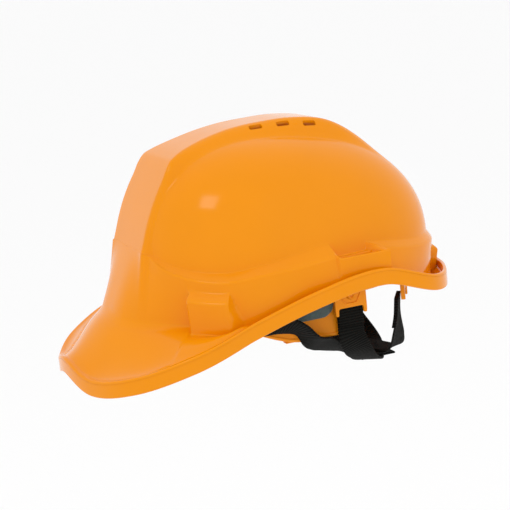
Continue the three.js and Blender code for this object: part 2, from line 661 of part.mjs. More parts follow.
function napePad() {
  const shape = new THREE.Shape();
  const w = 28;
  const h = 9;
  const r = 5;
  shape.moveTo(-w + r, -h);
  shape.lineTo(w - r, -h);
  shape.absarc(w - r, -h + r, r, -Math.PI / 2, 0, false);
  shape.absarc(w - r, h - r, r, 0, Math.PI / 2, false);
  shape.absarc(-w + r, h - r, r, Math.PI / 2, Math.PI, false);
  shape.absarc(-w + r, -h + r, r, Math.PI, 1.5 * Math.PI, false);
  const pad = new THREE.ExtrudeGeometry(shape, { depth: 2.5, bevelEnabled: true, bevelThickness: 1,
    bevelSize: 1, bevelSegments: 2, curveSegments: 4 });
  return pad.rotateX(Math.PI / 2).translate(0, HOUSING.front - GAP - 1, KNOB_AXIS_Z);
}

// ---------------------------------------------------------------- assembly
const helmet = new THREE.Group();

const ORANGE = 0xf09619;
const BLACK = 0x141412;
const GREY = 0x4b5f5f;
const STEEL = 0x9a9a9a;

function place(name, geometry, colour, roughness) {
  const material = new THREE.MeshStandardMaterial({ color: colour, roughness, metalness: 0 });
  const mesh = new THREE.Mesh(geometry, material);
  mesh.name = name;
  helmet.add(mesh);
}

// Places a piece on the wearer's left and its mirror image on the right.
function placePair(name, geometry, colour, roughness) {
  place(`${name}_left`, geometry, colour, roughness);
  place(`${name}_right`, mirrored(geometry), colour, roughness);
}

place("shell", shell(), ORANGE, 0.25);
placePair("side_clip", sideClip(), ORANGE, 0.35);
placePair("front_clip", roundClip(FRONT_CLIP), ORANGE, 0.35);
placePair("rear_clip", roundClip(REAR_CLIP), ORANGE, 0.35);
place("cradle_web_side", sideWeb(), BLACK, 0.9);
place("cradle_web_diagonal_left", diagonalWeb(1, CROWN_LEVEL.left), BLACK, 0.9);
place("cradle_web_diagonal_right", diagonalWeb(-1, CROWN_LEVEL.right), BLACK, 0.9);
place("crown_patch", crownPatch(), BLACK, 0.9);
place("headband", headband(), ORANGE, 0.4);
place("sweatband", sweatband(), GREY, 0.95);
placePair("headband_hanger", hanger(), ORANGE, 0.4);
placePair("hanger_stud", hangerStud(), ORANGE, 0.35);
placePair("size_guide", sizeGuide(), ORANGE, 0.4);
place("size_strap_left", sizeStrap(1, REAR.y), ORANGE, 0.4);
place("size_strap_right", sizeStrap(-1, REAR.y + REAR.layer), ORANGE, 0.4);
place("ratchet_housing", ratchetHousing(), BLACK, 0.5);
place("ratchet_cover", ratchetCover(), BLACK, 0.5);
place("detent_spring", detentSpring(), STEEL, 0.3);
place("pinion", pinion(), BLACK, 0.5);
place("size_knob", sizeKnob(), BLACK, 0.5);
place("nape_pad", napePad(), GREY, 0.95);

export default helmet;
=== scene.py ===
import math
import bpy
import bmesh
import numpy as np
from mathutils import Matrix, Vector


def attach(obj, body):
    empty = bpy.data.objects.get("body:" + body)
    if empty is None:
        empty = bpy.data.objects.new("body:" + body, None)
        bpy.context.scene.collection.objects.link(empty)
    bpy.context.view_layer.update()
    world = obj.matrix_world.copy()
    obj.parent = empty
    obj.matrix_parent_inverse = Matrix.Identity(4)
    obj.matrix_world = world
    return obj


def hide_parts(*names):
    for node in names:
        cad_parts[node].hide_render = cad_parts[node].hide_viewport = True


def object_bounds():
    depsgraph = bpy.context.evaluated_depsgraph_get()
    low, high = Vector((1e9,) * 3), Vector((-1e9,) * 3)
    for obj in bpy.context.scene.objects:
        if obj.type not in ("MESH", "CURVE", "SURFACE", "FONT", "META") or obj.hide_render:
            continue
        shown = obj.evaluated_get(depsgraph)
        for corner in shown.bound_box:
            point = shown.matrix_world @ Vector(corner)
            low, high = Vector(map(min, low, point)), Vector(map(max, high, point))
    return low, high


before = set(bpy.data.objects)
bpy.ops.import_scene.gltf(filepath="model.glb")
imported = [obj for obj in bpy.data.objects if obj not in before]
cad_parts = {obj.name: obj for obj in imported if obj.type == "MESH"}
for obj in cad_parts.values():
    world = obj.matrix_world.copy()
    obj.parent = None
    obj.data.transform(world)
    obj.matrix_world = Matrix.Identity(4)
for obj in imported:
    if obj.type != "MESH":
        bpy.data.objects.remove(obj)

CAD_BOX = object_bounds()
MM = 0.001

# ---- shell dimensions (mm)
SKIN = 2.5
LIP = 3.0
RIM_HEIGHT = 11.8
GUTTER_DEPTH = 5.0
CENTRE_Z = 30.0
DOME_HALF_WIDTH = 87.0
DOME_FRONT = 96.0
DOME_REAR = 130.5
DOME_TOP = 119.5
PLAN_POWER = 2.2
SLOT_PLANE = 95.5
SLOT_TOP = 36.0
SLOT_DEPTH = 15.0

# Curves round the helmet: degrees from the front, then one or two values.
RIM = [(0, 149.9, -19), (16.5, 149.4, -26.8), (33, 146.5, -21.1), (49.5, 134.1, -9.1),
       (68, 107, 4.8), (95, 103, 19.3), (120, 114.6, 24.7), (139, 134.3, 10.9), (159, 137.4, 7.1),
       (180, 139.1, 5.8)]
FOOT = [(0, 113, 9), (13, 113.6, 6.2), (40, 99, 2), (63, 98, 0), (78, 95.5, 4), (95, 95.4, 15.5),
        (120, 107, 20.5), (139, 121.5, 3.5), (159, 126, -2.5), (180, 127, -2)]
SHELF_HEIGHT = [(0, 52), (20, 52), (31, 45), (41, 40.5), (50, 38), (58, 37), (71, 39), (84, 42),
                (97, 45), (105, 45.5), (129, 40), (150, 33), (180, 31)]
SHELF_STEP = [(0, 0.6, 1), (17, 0.6, 1), (22, 1.6, 1.2), (30, 4.4, 3.2), (50, 7.5, 5), (75, 8, 6),
              (100, 8.3, 9), (126, 5, 6), (150, 4, 6), (180, 4, 7)]
GUTTER = [(0, 0), (60, 0), (70, 1), (180, 1)]
DOME_ROUNDNESS = [(0, 2.7), (40, 2.5), (90, 2.3), (140, 2.1), (180, 2.15)]
RIDGE = [(0, 104.5), (10, 97), (22, 95.7), (41, 98.7), (50.5, 102.7), (54, 102), (66, 97.9),
         (80, 95.8), (95, 96.5), (109, 101.3), (123, 107.9), (138, 111.6), (150, 114.5),
         (165, 120.5), (180, 121.9)]
RIDGE_HALF_WIDTH = [(0, 32, 38.7), (45, 31, 38), (60, 22, 35), (80, 17, 32), (120, 16, 31),
                    (180, 14, 30)]
BOSS_FROM, BOSS_TO, BOSS_PROUD = 43.5, 58.5, 8.5
BUMP_FROM, BUMP_PROUD = 167.0, 6.0
GROOVE_FROM, GROOVE_TO, GROOVE_DEPTH = 169.5, 172.0, 4.0
PEAK_ARCH = 3.0

# The notch in the shelf at each accessory slot, as angles: its hollow, the flat panel outside it,
# the pocket down into it, and the thicker wall behind it.
NOTCH_FROM, NOTCH_TO = 106.5, 121.5
PANEL_FROM, PANEL_TO = 104.9, 123.6
POCKET_FROM, POCKET_TO = 107.0, 121.0
BACKING_FROM, BACKING_TO, POCKET_BACKING = 105.5, 123.0, 7.0

# The vents: places as (y, z), and the size of the block that cuts one.
VENTS = [(2.5, 122), (23, 121), (43, 118)]
VENT_X, VENT_TILT, VENT_CORNER = 22.5, 28, 1.1
VENT_SIZE = (3.8, 9.6, 16)

# How finely the shell is divided: round it, and down each part of its section.
COLUMNS, DOME_STEPS, WALL_STEPS, FLOOR_STEPS = 600, 120, 30, 26


# ---- maths helpers
def smooth(low, high, value):
    t = np.clip((value - low) / (high - low), 0.0, 1.0)
    return t * t * (3 - 2 * t)


def band(low, high, ramp, value):
    return smooth(low - ramp, low, value) * (1 - smooth(high, high + ramp, value))


def through(keys, column, at):
    """A smooth curve through keys of (position, value, ...), flat at both ends."""
    place = np.array([k[0] for k in keys], float)
    value = np.array([k[column] for k in keys], float)
    slope = np.zeros(len(keys))
    slope[1:-1] = (value[2:] - value[:-2]) / (place[2:] - place[:-2])
    x = np.clip(at, place[0], place[-1])
    i = np.clip(np.searchsorted(place, x) - 1, 0, len(keys) - 2)
    width = place[i + 1] - place[i]
    t = (x - place[i]) / width
    return ((2 * t**3 - 3 * t**2 + 1) * value[i] + (t**3 - 2 * t**2 + t) * width * slope[i]
            + (3 * t**2 - 2 * t**3) * value[i + 1] + (t**3 - t**2) * width * slope[i + 1])


# ---- shell surface
def dome_reach(angle, up):
    side, along = np.sin(angle), np.cos(angle)
    length = np.where(along > 0, DOME_FRONT, DOME_REAR)
    plan = (np.abs(side / DOME_HALF_WIDTH) ** PLAN_POWER
            + np.abs(along / length) ** PLAN_POWER) ** (-1 / PLAN_POWER)
    n = through(DOME_ROUNDNESS, 1, np.degrees(angle))
    petal = (np.abs(np.cos(up) / plan) ** n + np.abs(np.sin(up) / (DOME_TOP - CENTRE_Z)) ** n) ** (-1 / n)
    forward, rise = np.cos(up) * along, np.sin(up)
    tilt = np.degrees(np.arctan2(rise, forward))
    ridge = through(RIDGE, 1, tilt) / np.maximum(np.hypot(forward, rise), 0.2)
    x = petal * np.cos(up) * side
    mask = 1 - smooth(through(RIDGE_HALF_WIDTH, 1, tilt), through(RIDGE_HALF_WIDTH, 2, tilt), x)
    return petal + (ridge - petal) * mask


def shelf_angle(angle):
    height = through(SHELF_HEIGHT, 1, np.degrees(angle))
    low, high = np.zeros_like(angle), np.full_like(angle, math.radians(60))
    for _ in range(40):
        middle = (low + high) / 2
        below = CENTRE_Z + dome_reach(angle, middle) * np.sin(middle) < height
        low, high = np.where(below, middle, low), np.where(below, high, middle)
    return (low + high) / 2


def rounded(before, corner, after, radius, steps):
    """Rows that turn a corner of the section with a small curve."""
    def pull(other):
        gap = other - corner
        length = np.maximum(np.linalg.norm(gap, axis=0), 1e-6)
        return corner + gap / length * np.minimum(radius, 0.45 * length)
    a, b = pull(before), pull(after)
    return [a * (1 - t) ** 2 + corner * 2 * t * (1 - t) + b * t**2 for t in np.linspace(0, 1, steps)]


def between(a, b, steps):
    """Rows inside a straight stretch, without its ends."""
    return [a + (b - a) * (k / (steps + 1)) for k in range(1, steps + 1)]


def dome_point(reach, up):
    """The (radius, height) of a place on the dome, from its distance and angle at the centre."""
    return np.array([reach * np.cos(up), CENTRE_Z + reach * np.sin(up)])


def wall_rows(edge, foot, degrees):
    """The wall from the shelf's edge down to its foot, with the side boss and the rear bump on it."""
    wall = []
    for level in np.linspace(1, 0, WALL_STEPS):
        rear_ramp = 1.0 + 4.5 * (1 - smooth(0, 0.75, level))
        boss_end = 1 - smooth(BOSS_TO, BOSS_TO + rear_ramp, degrees)
        boss = smooth(BOSS_FROM - 1.5, BOSS_FROM, degrees) * boss_end
        bump = smooth(BUMP_FROM - 1.6, BUMP_FROM, degrees)
        groove = band(GROOVE_FROM, GROOVE_TO, 0.8, degrees) * (1 - smooth(0.52, 0.6, level))
        proud = (boss * BOSS_PROUD * (1 - smooth(0.58, 0.8, level))
                 + bump * BUMP_PROUD * (1 - smooth(0.6, 0.85, level)) - GROOVE_DEPTH * groove)
        droop = -0.35 * proud * (1 - smooth(0, 0.25, level))
        wall.append(foot + (edge - foot) * level + np.array([proud, droop]))
    return wall


def floor_rows(base, low, gutter):
    """The gutter's floor, or at the front the peak's top, from the wall's foot out to the lip."""
    floor = []
    for k in range(1, FLOOR_STEPS):
        t = k / FLOOR_STEPS
        fall = float(smooth(0, 1, 0.15 + 0.85 * t))
        point = base + (low - base) * np.array([np.full_like(base[0], t), np.full_like(base[0], fall)])
        point[1] += (1 - gutter) * PEAK_ARCH * math.sin(math.pi * t)
        floor.append(point)
    return floor


def shell_rows(angle):
    """The shell's half section at each angle, as rows of (radius, height) from crown to crown."""
    degrees = np.degrees(angle)
    start = shelf_angle(angle)
    share = np.linspace(0, 1, DOME_STEPS + 1)[1:]
    ups = [math.pi / 2 + (start - math.pi / 2) * s for s in share]
    reaches = [dome_reach(angle, up) for up in ups]
    outer_dome = [dome_point(r, u) for r, u in zip(reaches, ups)]
    inner_dome = [dome_point(r - SKIN, u) for r, u in zip(reaches, ups)][::4]

    notch = band(NOTCH_FROM, NOTCH_TO, 1.6, degrees)
    panel = band(PANEL_FROM, PANEL_TO, 0.5, degrees)
    shelf = outer_dome[-1]
    root = shelf + np.array([0.2 + 0.5 * notch, -0.6 * (1 - notch)])
    root[1] += notch * (SLOT_TOP - 0.5 - root[1])
    edge = shelf + np.array([through(SHELF_STEP, 1, degrees), -through(SHELF_STEP, 2, degrees)])
    panel_radius = SLOT_PLANE / np.maximum(np.sin(angle), 0.3)
    edge = edge + panel * (np.array([panel_radius, np.full_like(angle, SLOT_TOP)]) - edge)
    foot = np.array([through(FOOT, 1, degrees), through(FOOT, 2, degrees)])
    foot[0] += panel * np.maximum(panel_radius - foot[0], 0)
    rim = np.array([through(RIM, 1, degrees), through(RIM, 2, degrees)])
    gutter = through(GUTTER, 1, degrees)

    wall = wall_rows(edge, foot, degrees)
    base = wall[-1]
    lip_inner = rim - np.array([LIP, 0])[:, None]
    drop = GUTTER_DEPTH * gutter
    low = np.array([lip_inner[0] - 0.6 - 0.6 * (1 - gutter), rim[1] - drop - 0.25 * (1 - gutter)])
    floor = floor_rows(base, low, gutter)
    rim_low = rim - np.array([0, RIM_HEIGHT])[:, None]
    rim_low_inner = rim_low - np.array([LIP, 0])[:, None]
    under_low = np.array([lip_inner[0] - 0.2, low[1] - SKIN])

    rows = list(outer_dome[:-1])
    rows += rounded(outer_dome[-4], shelf, root, 0.7, 4)
    rows += rounded(shelf, root, edge, 1.0, 4)
    rows += pocket_rows(root, edge, degrees)
    rows += rounded(root, edge, wall[4], 1.5, 6)
    rows += wall[2:-2]
    rows += rounded(wall[-3], base, floor[2], 2.2, 5)
    rows += floor[2:]
    rows += rounded(floor[-1], low, lip_inner, 1.0, 4)
    rows += rounded(low, lip_inner, rim, 1.2, 5)
    rows += rounded(lip_inner, rim, rim_low, 2.2, 7)
    rows += between(rim, rim_low, 5)
    rows += rounded(rim, rim_low, rim_low_inner, 1.0, 5)
    rows += rounded(rim_low, rim_low_inner, under_low, 1.0, 4)
    rows += between(rim_low_inner, under_low, 2)
    rows.append(under_low)
    rows += [p - np.array([0, SKIN])[:, None] for p in floor[::-3]]
    hump = POCKET_BACKING * band(BACKING_FROM, BACKING_TO, 1.5, degrees)
    for k, point in enumerate(wall[::-3]):
        thin = SKIN * (1.0 if k == 0 else 0.6)
        rows.append(point - np.array([SKIN + hump * (k < 9), np.full_like(angle, thin)]))
    rows.append(root - np.array([SKIN + 0.5 * notch, SKIN * 0.4 * (1 - notch)]))
    rows += inner_dome[::-1]
    return rows


def pocket_rows(root, edge, degrees):
    """Rows across the shelf; in the notch some of them drop to make the accessory pocket."""
    deep = band(POCKET_FROM, POCKET_TO, 0.35, degrees) * SLOT_DEPTH
    shares = ((0.18, 0), (0.3, 0), (0.34, 0.05), (0.355, 1), (0.5, 1), (0.7, 1), (0.785, 1), (0.8, 0.05),
              (0.84, 0))
    rows = []
    for share, sunk in shares:
        point = root + (edge - root) * share
        point[1] = point[1] - deep * sunk
        rows.append(point)
    return rows


def shell_mesh():
    """The shell's skin, outside and inside, as rows of places all round and a pole at each crown."""
    angle = np.linspace(0, 2 * math.pi, COLUMNS, endpoint=False)
    folded = np.where(angle > math.pi, 2 * math.pi - angle, angle)
    rows = shell_rows(folded)
    points = [np.stack([r * np.sin(angle), -r * np.cos(angle), z], axis=1) for r, z in rows]
    top = CENTRE_Z + float(dome_reach(np.array([0.0]), np.array([math.pi / 2]))[0])
    verts = np.concatenate([[[0, 0, top]], *points, [[0, 0, top - SKIN]]])
    faces = []
    count = len(points)
    end = 1 + count * COLUMNS
    for i in range(COLUMNS):
        j = (i + 1) % COLUMNS
        faces.append((0, 1 + i, 1 + j))
        faces.append((end, end - COLUMNS + j, end - COLUMNS + i))
    for r in range(count - 1):
        a = 1 + r * COLUMNS
        for i in range(COLUMNS):
            j = (i + 1) % COLUMNS
            faces.append((a + i, a + COLUMNS + i, a + COLUMNS + j, a + j))
    return verts, faces


# ---- object helpers
def placed(name, data):
    """A new object in the scene."""
    obj = bpy.data.objects.new(name, data)
    bpy.context.scene.collection.objects.link(obj)
    return obj


def mesh_from(name, shape):
    """A mesh with what the bmesh holds; the bmesh is freed."""
    mesh = bpy.data.meshes.new(name)
    shape.to_mesh(mesh)
    shape.free()
    return mesh


def soften(mesh, sharp):
    """Smooth shading, with edges sharper than so many degrees kept."""
    mesh.shade_smooth()
    mesh.set_sharp_from_angle(angle=math.radians(sharp))


def make_object(name, verts, faces, material, sharp=35):
    """A piece from places in millimetres, its faces turned outward."""
    mesh = bpy.data.meshes.new(name)
    mesh.from_pydata([tuple(v) for v in np.asarray(verts) * MM], [], faces)
    mesh.validate()
    fix = bmesh.new()
    fix.from_mesh(mesh)
    if fix.calc_volume(signed=True) < 0:
        bmesh.ops.reverse_faces(fix, faces=fix.faces)
    fix.to_mesh(mesh)
    fix.free()
    soften(mesh, sharp)
    mesh.materials.append(material)
    return placed(name, mesh)


def standing_for(obj, body, slot, *nodes):
    """Puts the piece on what it rides on and hides the CAD nodes that it replaces; slot is not used."""
    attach(obj, body)
    if nodes:
        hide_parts(*nodes)
    return obj


def on_both_sides(left, name, body, slot, node):
    """The left piece and its mirror image stand for the left and right node."""
    standing_for(left, body, slot, node + "_left")
    standing_for(mirrored(left, name + "_right"), body, slot, node + "_right")


def cut(obj, cutters):
    """Takes the cutters out of a piece and removes them."""
    for cutter in cutters:
        modifier = obj.modifiers.new("cut", "BOOLEAN")
        modifier.operation = "DIFFERENCE"
        modifier.solver = "MANIFOLD"
        modifier.object = cutter
    bpy.context.view_layer.update()
    graph = bpy.context.evaluated_depsgraph_get()
    mesh = bpy.data.meshes.new_from_object(obj.evaluated_get(graph))
    obj.modifiers.clear()
    obj.data = mesh
    for cutter in cutters:
        bpy.data.objects.remove(cutter)


# ---- materials
def set_sockets(target, sockets):
    """Sets a node's inputs; a name's underscores stand for spaces."""
    for key, value in sockets.items():
        target.inputs[key.replace("_", " ")].default_value = value


def principled(name, colour, roughness, **sockets):
    """A material, with its node tree and its shader."""
    material = bpy.data.materials.new(name)
    material.use_nodes = True
    shader = material.node_tree.nodes["Principled BSDF"]
    set_sockets(shader, {"Base Color": (*colour, 1), "Roughness": roughness, **sockets})
    return material, material.node_tree, shader


def add_node(tree, kind, **sockets):
    node = tree.nodes.new("ShaderNode" + kind)
    set_sockets(node, sockets)
    return node


def noise(tree, place, scale, **sockets):
    """The output of a cloud texture."""
    cloud = add_node(tree, "TexNoise", Scale=scale, **sockets)
    tree.links.new(place, cloud.inputs["Vector"])
    return cloud.outputs["Fac"]


def ranged(tree, value, **sockets):
    """A value brought from one range to another."""
    spread = add_node(tree, "MapRange", **sockets)
    tree.links.new(value, spread.inputs["Value"])
    return spread.outputs["Result"]


def maths(tree, operation, *values):
    """The output of a maths node on numbers and other nodes' outputs."""
    node = tree.nodes.new("ShaderNodeMath")
    node.operation = operation
    for k, value in enumerate(values):
        if isinstance(value, float):
            node.inputs[k].default_value = value
        else:
            tree.links.new(value, node.inputs[k])
    return node.outputs[0]


def tint(tree, shader, colour, dark, light, factor):
    """Varies the shader's colour between a darker and a lighter tone of it."""
    mix = tree.nodes.new("ShaderNodeMix")
    mix.data_type = "RGBA"
    mix.inputs["A"].default_value = (*[c * dark for c in colour], 1)
    mix.inputs["B"].default_value = (*[min(1, c * light) for c in colour], 1)
    tree.links.new(factor, mix.inputs["Factor"])
    tree.links.new(mix.outputs["Result"], shader.inputs["Base Color"])


def relief(tree, shader, height, strength, distance):
    """Bumps the surface by a height; distance is in metres."""
    bump = add_node(tree, "Bump", Strength=strength, Distance=distance)
    tree.links.new(height, bump.inputs["Height"])
    tree.links.new(bump.outputs["Normal"], shader.inputs["Normal"])


def moulded_plastic(name, colour, roughness, grain, scratch):
    """Moulded plastic: slow changes of tone, scuffed gloss and a finely uneven surface."""
    material, tree, shader = principled(name, colour, roughness, Coat_Weight=0.05, Coat_Roughness=0.1,
                                        Specular_IOR_Level=0.15)
    coords = tree.nodes.new("ShaderNodeTexCoord")
    place = coords.outputs["Object"]
    tint(tree, shader, colour, 0.96, 1.04, noise(tree, place, 22.0, Detail=4.0))
    scuff = noise(tree, place, scratch, Detail=8.0, Roughness=0.7)
    gloss = ranged(tree, scuff, From_Min=0.35, From_Max=0.75, To_Min=roughness - 0.04,
                   To_Max=roughness + 0.08)
    tree.links.new(gloss, shader.inputs["Roughness"])
    relief(tree, shader, noise(tree, place, grain, Detail=2.0), 0.05, 0.0005)
    return material


def woven(name, colour, thread, rib, fuzz):
    """Black webbing: ribs across the strap, warp threads along it, from the strap's own map."""
    material, tree, shader = principled(name, colour, 0.85, Sheen_Weight=0.02, Sheen_Roughness=0.4,
                                        Specular_IOR_Level=0.08)
    coords = tree.nodes.new("ShaderNodeTexCoord")
    split = tree.nodes.new("ShaderNodeSeparateXYZ")
    tree.links.new(coords.outputs["UV"], split.inputs["Vector"])
    across = maths(tree, "SINE", maths(tree, "MULTIPLY", split.outputs["X"], math.tau * thread))
    along = maths(tree, "SINE", maths(tree, "MULTIPLY", split.outputs["Y"], math.tau * rib))
    cross = maths(tree, "MULTIPLY", across, along)
    weave = maths(tree, "MULTIPLY_ADD", cross, 0.6, along)
    fluff = noise(tree, coords.outputs["Object"], fuzz, Detail=6.0)
    height = maths(tree, "MULTIPLY_ADD", fluff, 0.8, weave)
    relief(tree, shader, height, 0.9, 0.00035)
    # The colour follows the same height: painted shade in the weave's hollows and a painted highlight on its
    # raised threads, with random tone from the fuzz.
    tint(tree, shader, colour, 0.35, 1.9, ranged(tree, height, From_Min=-1.2, From_Max=1.8))
    return material


def padded_fabric(name, colour):
    """Soft brushed cloth over foam: fine knit cells with a little fuzz."""
    material, tree, shader = principled(name, colour, 0.9, Sheen_Weight=0.5, Sheen_Roughness=0.5)
    coords = tree.nodes.new("ShaderNodeTexCoord")
    place = coords.outputs["Object"]
    knit = add_node(tree, "TexVoronoi", Scale=1100.0)
    tree.links.new(place, knit.inputs["Vector"])
    cloud = noise(tree, place, 90.0, Detail=8.0)
    tint(tree, shader, colour, 0.6, 1.45, cloud)
    height = maths(tree, "MULTIPLY_ADD", cloud, 0.7, knit.outputs["Distance"])
    relief(tree, shader, height, 0.6, 0.0003)
    return material


def spring_steel(name):
    """Drawn steel, whose roughness runs in fine lines."""
    material, tree, shader = principled(name, (0.55, 0.55, 0.56), 0.3, Metallic=1.0)
    coords = tree.nodes.new("ShaderNodeTexCoord")
    stretch = add_node(tree, "Mapping", Scale=(60, 900, 60))
    tree.links.new(coords.outputs["Object"], stretch.inputs["Vector"])
    lines = noise(tree, stretch.outputs["Vector"], 8.0)
    tree.links.new(ranged(tree, lines, To_Min=0.2, To_Max=0.45), shader.inputs["Roughness"])
    return material


SHELL_PLASTIC = moulded_plastic("shell_plastic", (0.84, 0.275, 0.001), 0.13, 240.0, 60.0)
FITTING = moulded_plastic("fitting_plastic", (0.88, 0.30, 0.005), 0.3, 700.0, 120.0)
BAND_PLASTIC = moulded_plastic("band_plastic", (0.86, 0.28, 0.005), 0.34, 900.0, 120.0)
BLACK_PLASTIC = moulded_plastic("black_plastic", (0.022, 0.022, 0.023), 0.45, 1500.0, 150.0)
WEBBING = woven("black_webbing", (0.006, 0.006, 0.005), 14.0, 520.0, 900.0)
THREAD = woven("sewing_thread", (0.022, 0.022, 0.022), 4.0, 900.0, 1500.0)
SWEAT_FABRIC = padded_fabric("sweatband_fabric", (0.075, 0.12, 0.12))
STEEL = spring_steel("spring_steel")


# ---- the shell
def vent_cutters():
    """Round-cornered blocks that stand in the vents beside the crown ridge, tilted outward."""
    cutters = []
    for side in (-1, 1):
        for y, z in VENTS:
            cutter = bmesh.new()
            bmesh.ops.create_cube(cutter, size=1.0)
            bmesh.ops.scale(cutter, vec=VENT_SIZE, verts=cutter.verts)
            upright = [e for e in cutter.edges if abs(e.verts[0].co.z - e.verts[1].co.z) > 1]
            bmesh.ops.bevel(cutter, geom=upright, offset=VENT_CORNER, segments=4, affect="EDGES", profile=0.5)
            mesh = mesh_from("vent_cutter", cutter)
            tilt = Matrix.Rotation(side * math.radians(VENT_TILT), 4, "Y")
            mesh.transform(Matrix.Scale(MM, 4) @ Matrix.Translation((side * VENT_X, y, z)) @ tilt)
            cutters.append(placed("vent_cutter", mesh))
    return cutters


def make_shell():
    verts, faces = shell_mesh()
    obj = make_object("shell_moulding", verts, faces, SHELL_PLASTIC)
    cut(obj, vent_cutters())
    obj.data.set_sharp_from_angle(angle=math.radians(35))
    standing_for(obj, "helmet", "shell", "shell")


# ---- paths and swept shapes
# A stitch's rings as (place along it, half width, height), and the distance between stitches.
STITCH_RINGS = ((-1.1, 0.12, 0.0), (-0.7, 0.3, 0.24), (0.7, 0.3, 0.24), (1.1, 0.12, 0.0))
STITCH_PITCH = 3.0


def curve_through(points, steps):
    """A centripetal Catmull-Rom curve through the points, steps + 1 places along it."""
    p = np.array(points, float)
    p = np.vstack([2 * p[0] - p[1], p, 2 * p[-1] - p[-2]])
    spans = len(points) - 1
    places = []
    for k in range(steps + 1):
        at = spans * k / steps
        i = min(int(at), spans - 1)
        t = at - i
        p0, p1, p2, p3 = p[i:i + 4]
        d0, d1, d2 = (max(np.linalg.norm(b - a) ** 0.5, 1e-4) for a, b in ((p0, p1), (p1, p2), (p2, p3)))
        leave = ((p1 - p0) / d0 - (p2 - p0) / (d0 + d1) + (p2 - p1) / d1) * d1
        arrive = ((p2 - p1) / d1 - (p3 - p1) / (d1 + d2) + (p3 - p2) / d2) * d1
        places.append(p1 + leave * t + (3 * (p2 - p1) - 2 * leave - arrive) * t**2
                      + (2 * (p1 - p2) + leave + arrive) * t**3)
    return np.array(places)


def unit(v):
    return v / np.maximum(np.linalg.norm(v, axis=-1, keepdims=True), 1e-9)


def strap_frames(pairs, steps):
    """Places along a strap, with its direction, its width direction and its face normal."""
    at = curve_through([p for p, _ in pairs], steps)
    along = unit(np.gradient(at, axis=0))
    across = curve_through([w for _, w in pairs], steps)
    across = unit(across - along * np.sum(across * along, axis=1, keepdims=True))
    return at, along, across, np.cross(along, across)


def rounded_section(width, height, radius, steps=4, middle=1):
    """Corners of a rounded rectangle, anticlockwise, with extra points along its long sides."""
    points = []
    for cx, cy, start in ((1, 1, 0), (-1, 1, 90), (-1, -1, 180), (1, -1, 270)):
        for k in range(steps + 1):
            turn = math.radians(start + 90 * k / steps)
            points.append((cx * (width / 2 - radius) + radius * math.cos(turn),
                           cy * (height / 2 - radius) + radius * math.sin(turn)))
        if start in (0, 180):
            side = 1 if start == 0 else -1
            for k in range(1, middle + 1):
                t = k / (middle + 1)
                points.append((side * (width / 2 - radius) * (1 - 2 * t), side * height / 2))
    return points


def loft(rings):
    """Vertices and faces of a closed skin through rings of equal count, with flat ends."""
    rings = np.array(rings)
    count = rings.shape[1]
    faces = []
    for r in range(len(rings) - 1):
        for i in range(count):
            j = (i + 1) % count
            a = r * count
            faces.append((a + i, a + j, a + count + j, a + count + i))
    last = (len(rings) - 1) * count
    faces.append(tuple(range(count - 1, -1, -1)))
    faces.append(tuple(last + i for i in range(count)))
    return rings.reshape(-1, 3), faces


def ribbon(name, frames, width, thickness, material, shift=0.0):
    """A woven strap; its UV map runs across the strap and along it in metres."""
    at, _, across, out = frames
    section = rounded_section(width, thickness, thickness * 0.46, 3, 7)
    rings = [at + across * a + out * (o + shift) for a, o in section]
    rings = np.stack(rings, axis=1)
    verts, faces = loft(rings)
    obj = make_object(name, verts, faces, material, 50)
    length = np.concatenate([[0], np.cumsum(np.linalg.norm(np.diff(at, axis=0), axis=1))]) * MM
    count = len(section)
    uv = obj.data.uv_layers.new(name="UVMap")
    for loop in obj.data.loops:
        ring, place = divmod(loop.vertex_index, count)
        uv.data[loop.index].uv = (section[place][0] / width + 0.5, length[ring])
    return obj


def cut_frames(frames, first, last):
    return tuple(part[first:last] for part in frames)


def sewn_box(a, b, c, d, normal):
    """Rows of stitches along the sides of a box and across it."""
    return [(start, end, normal) for start, end in ((a, b), (b, c), (c, d), (d, a), (a, c), (b, d))]


def stitch_rows(name, rows, material):
    """Rows of short raised threads; each row is (start, end, face normal)."""
    verts, faces = [], []
    for start, end, normal in rows:
        start, end, normal = (np.array(v, float) for v in (start, end, normal))
        run = end - start
        length = np.linalg.norm(run)
        count = max(1, int(length / STITCH_PITCH))
        along = run / length
        side = unit(np.cross(along, normal))
        for k in range(count):
            middle = start + run * (k + 0.5) / count
            base = len(verts)
            for t, wide, high in STITCH_RINGS:
                for turn in range(6):
                    angle = math.tau * turn / 6
                    rise = high * (0.6 + 0.6 * math.sin(angle)) - 0.05
                    verts.append(middle + along * t + side * wide * math.cos(angle) + normal * rise)
            for r in range(3):
                for i in range(6):
                    j = (i + 1) % 6
                    a = base + r * 6
                    faces.append((a + i, a + j, a + 6 + j, a + 6 + i))
            faces.append(tuple(base + i for i in range(5, -1, -1)))
            faces.append(tuple(base + 18 + i for i in range(6)))
    return make_object(name, verts, faces, material, 60)


def plate(name, outlines, thickness, bevel, place, material, sharp=35):
    """A flat plate with rounded edges; its outlines are closed point lists, holes included."""
    curve = bpy.data.curves.new(name, "CURVE")
    curve.dimensions = "2D"
    curve.fill_mode = "BOTH"
    curve.extrude = (thickness / 2 - bevel) * MM
    curve.bevel_depth = bevel * MM
    curve.bevel_resolution = 3
    curve.offset = -bevel * MM
    for outline in outlines:
        line = curve.splines.new("POLY")
        line.points.add(len(outline) - 1)
        for point, (x, y) in zip(line.points, outline):
            point.co = (x * MM, y * MM, 0, 1)
        line.use_cyclic_u = True
    holder = placed(name, curve)
    bpy.context.view_layer.update()
    graph = bpy.context.evaluated_depsgraph_get()
    mesh = bpy.data.meshes.new_from_object(holder.evaluated_get(graph))
    bpy.data.objects.remove(holder)
    mesh.transform(place)
    soften(mesh, sharp)
    mesh.materials.clear()
    mesh.materials.append(material)
    return placed(name, mesh)


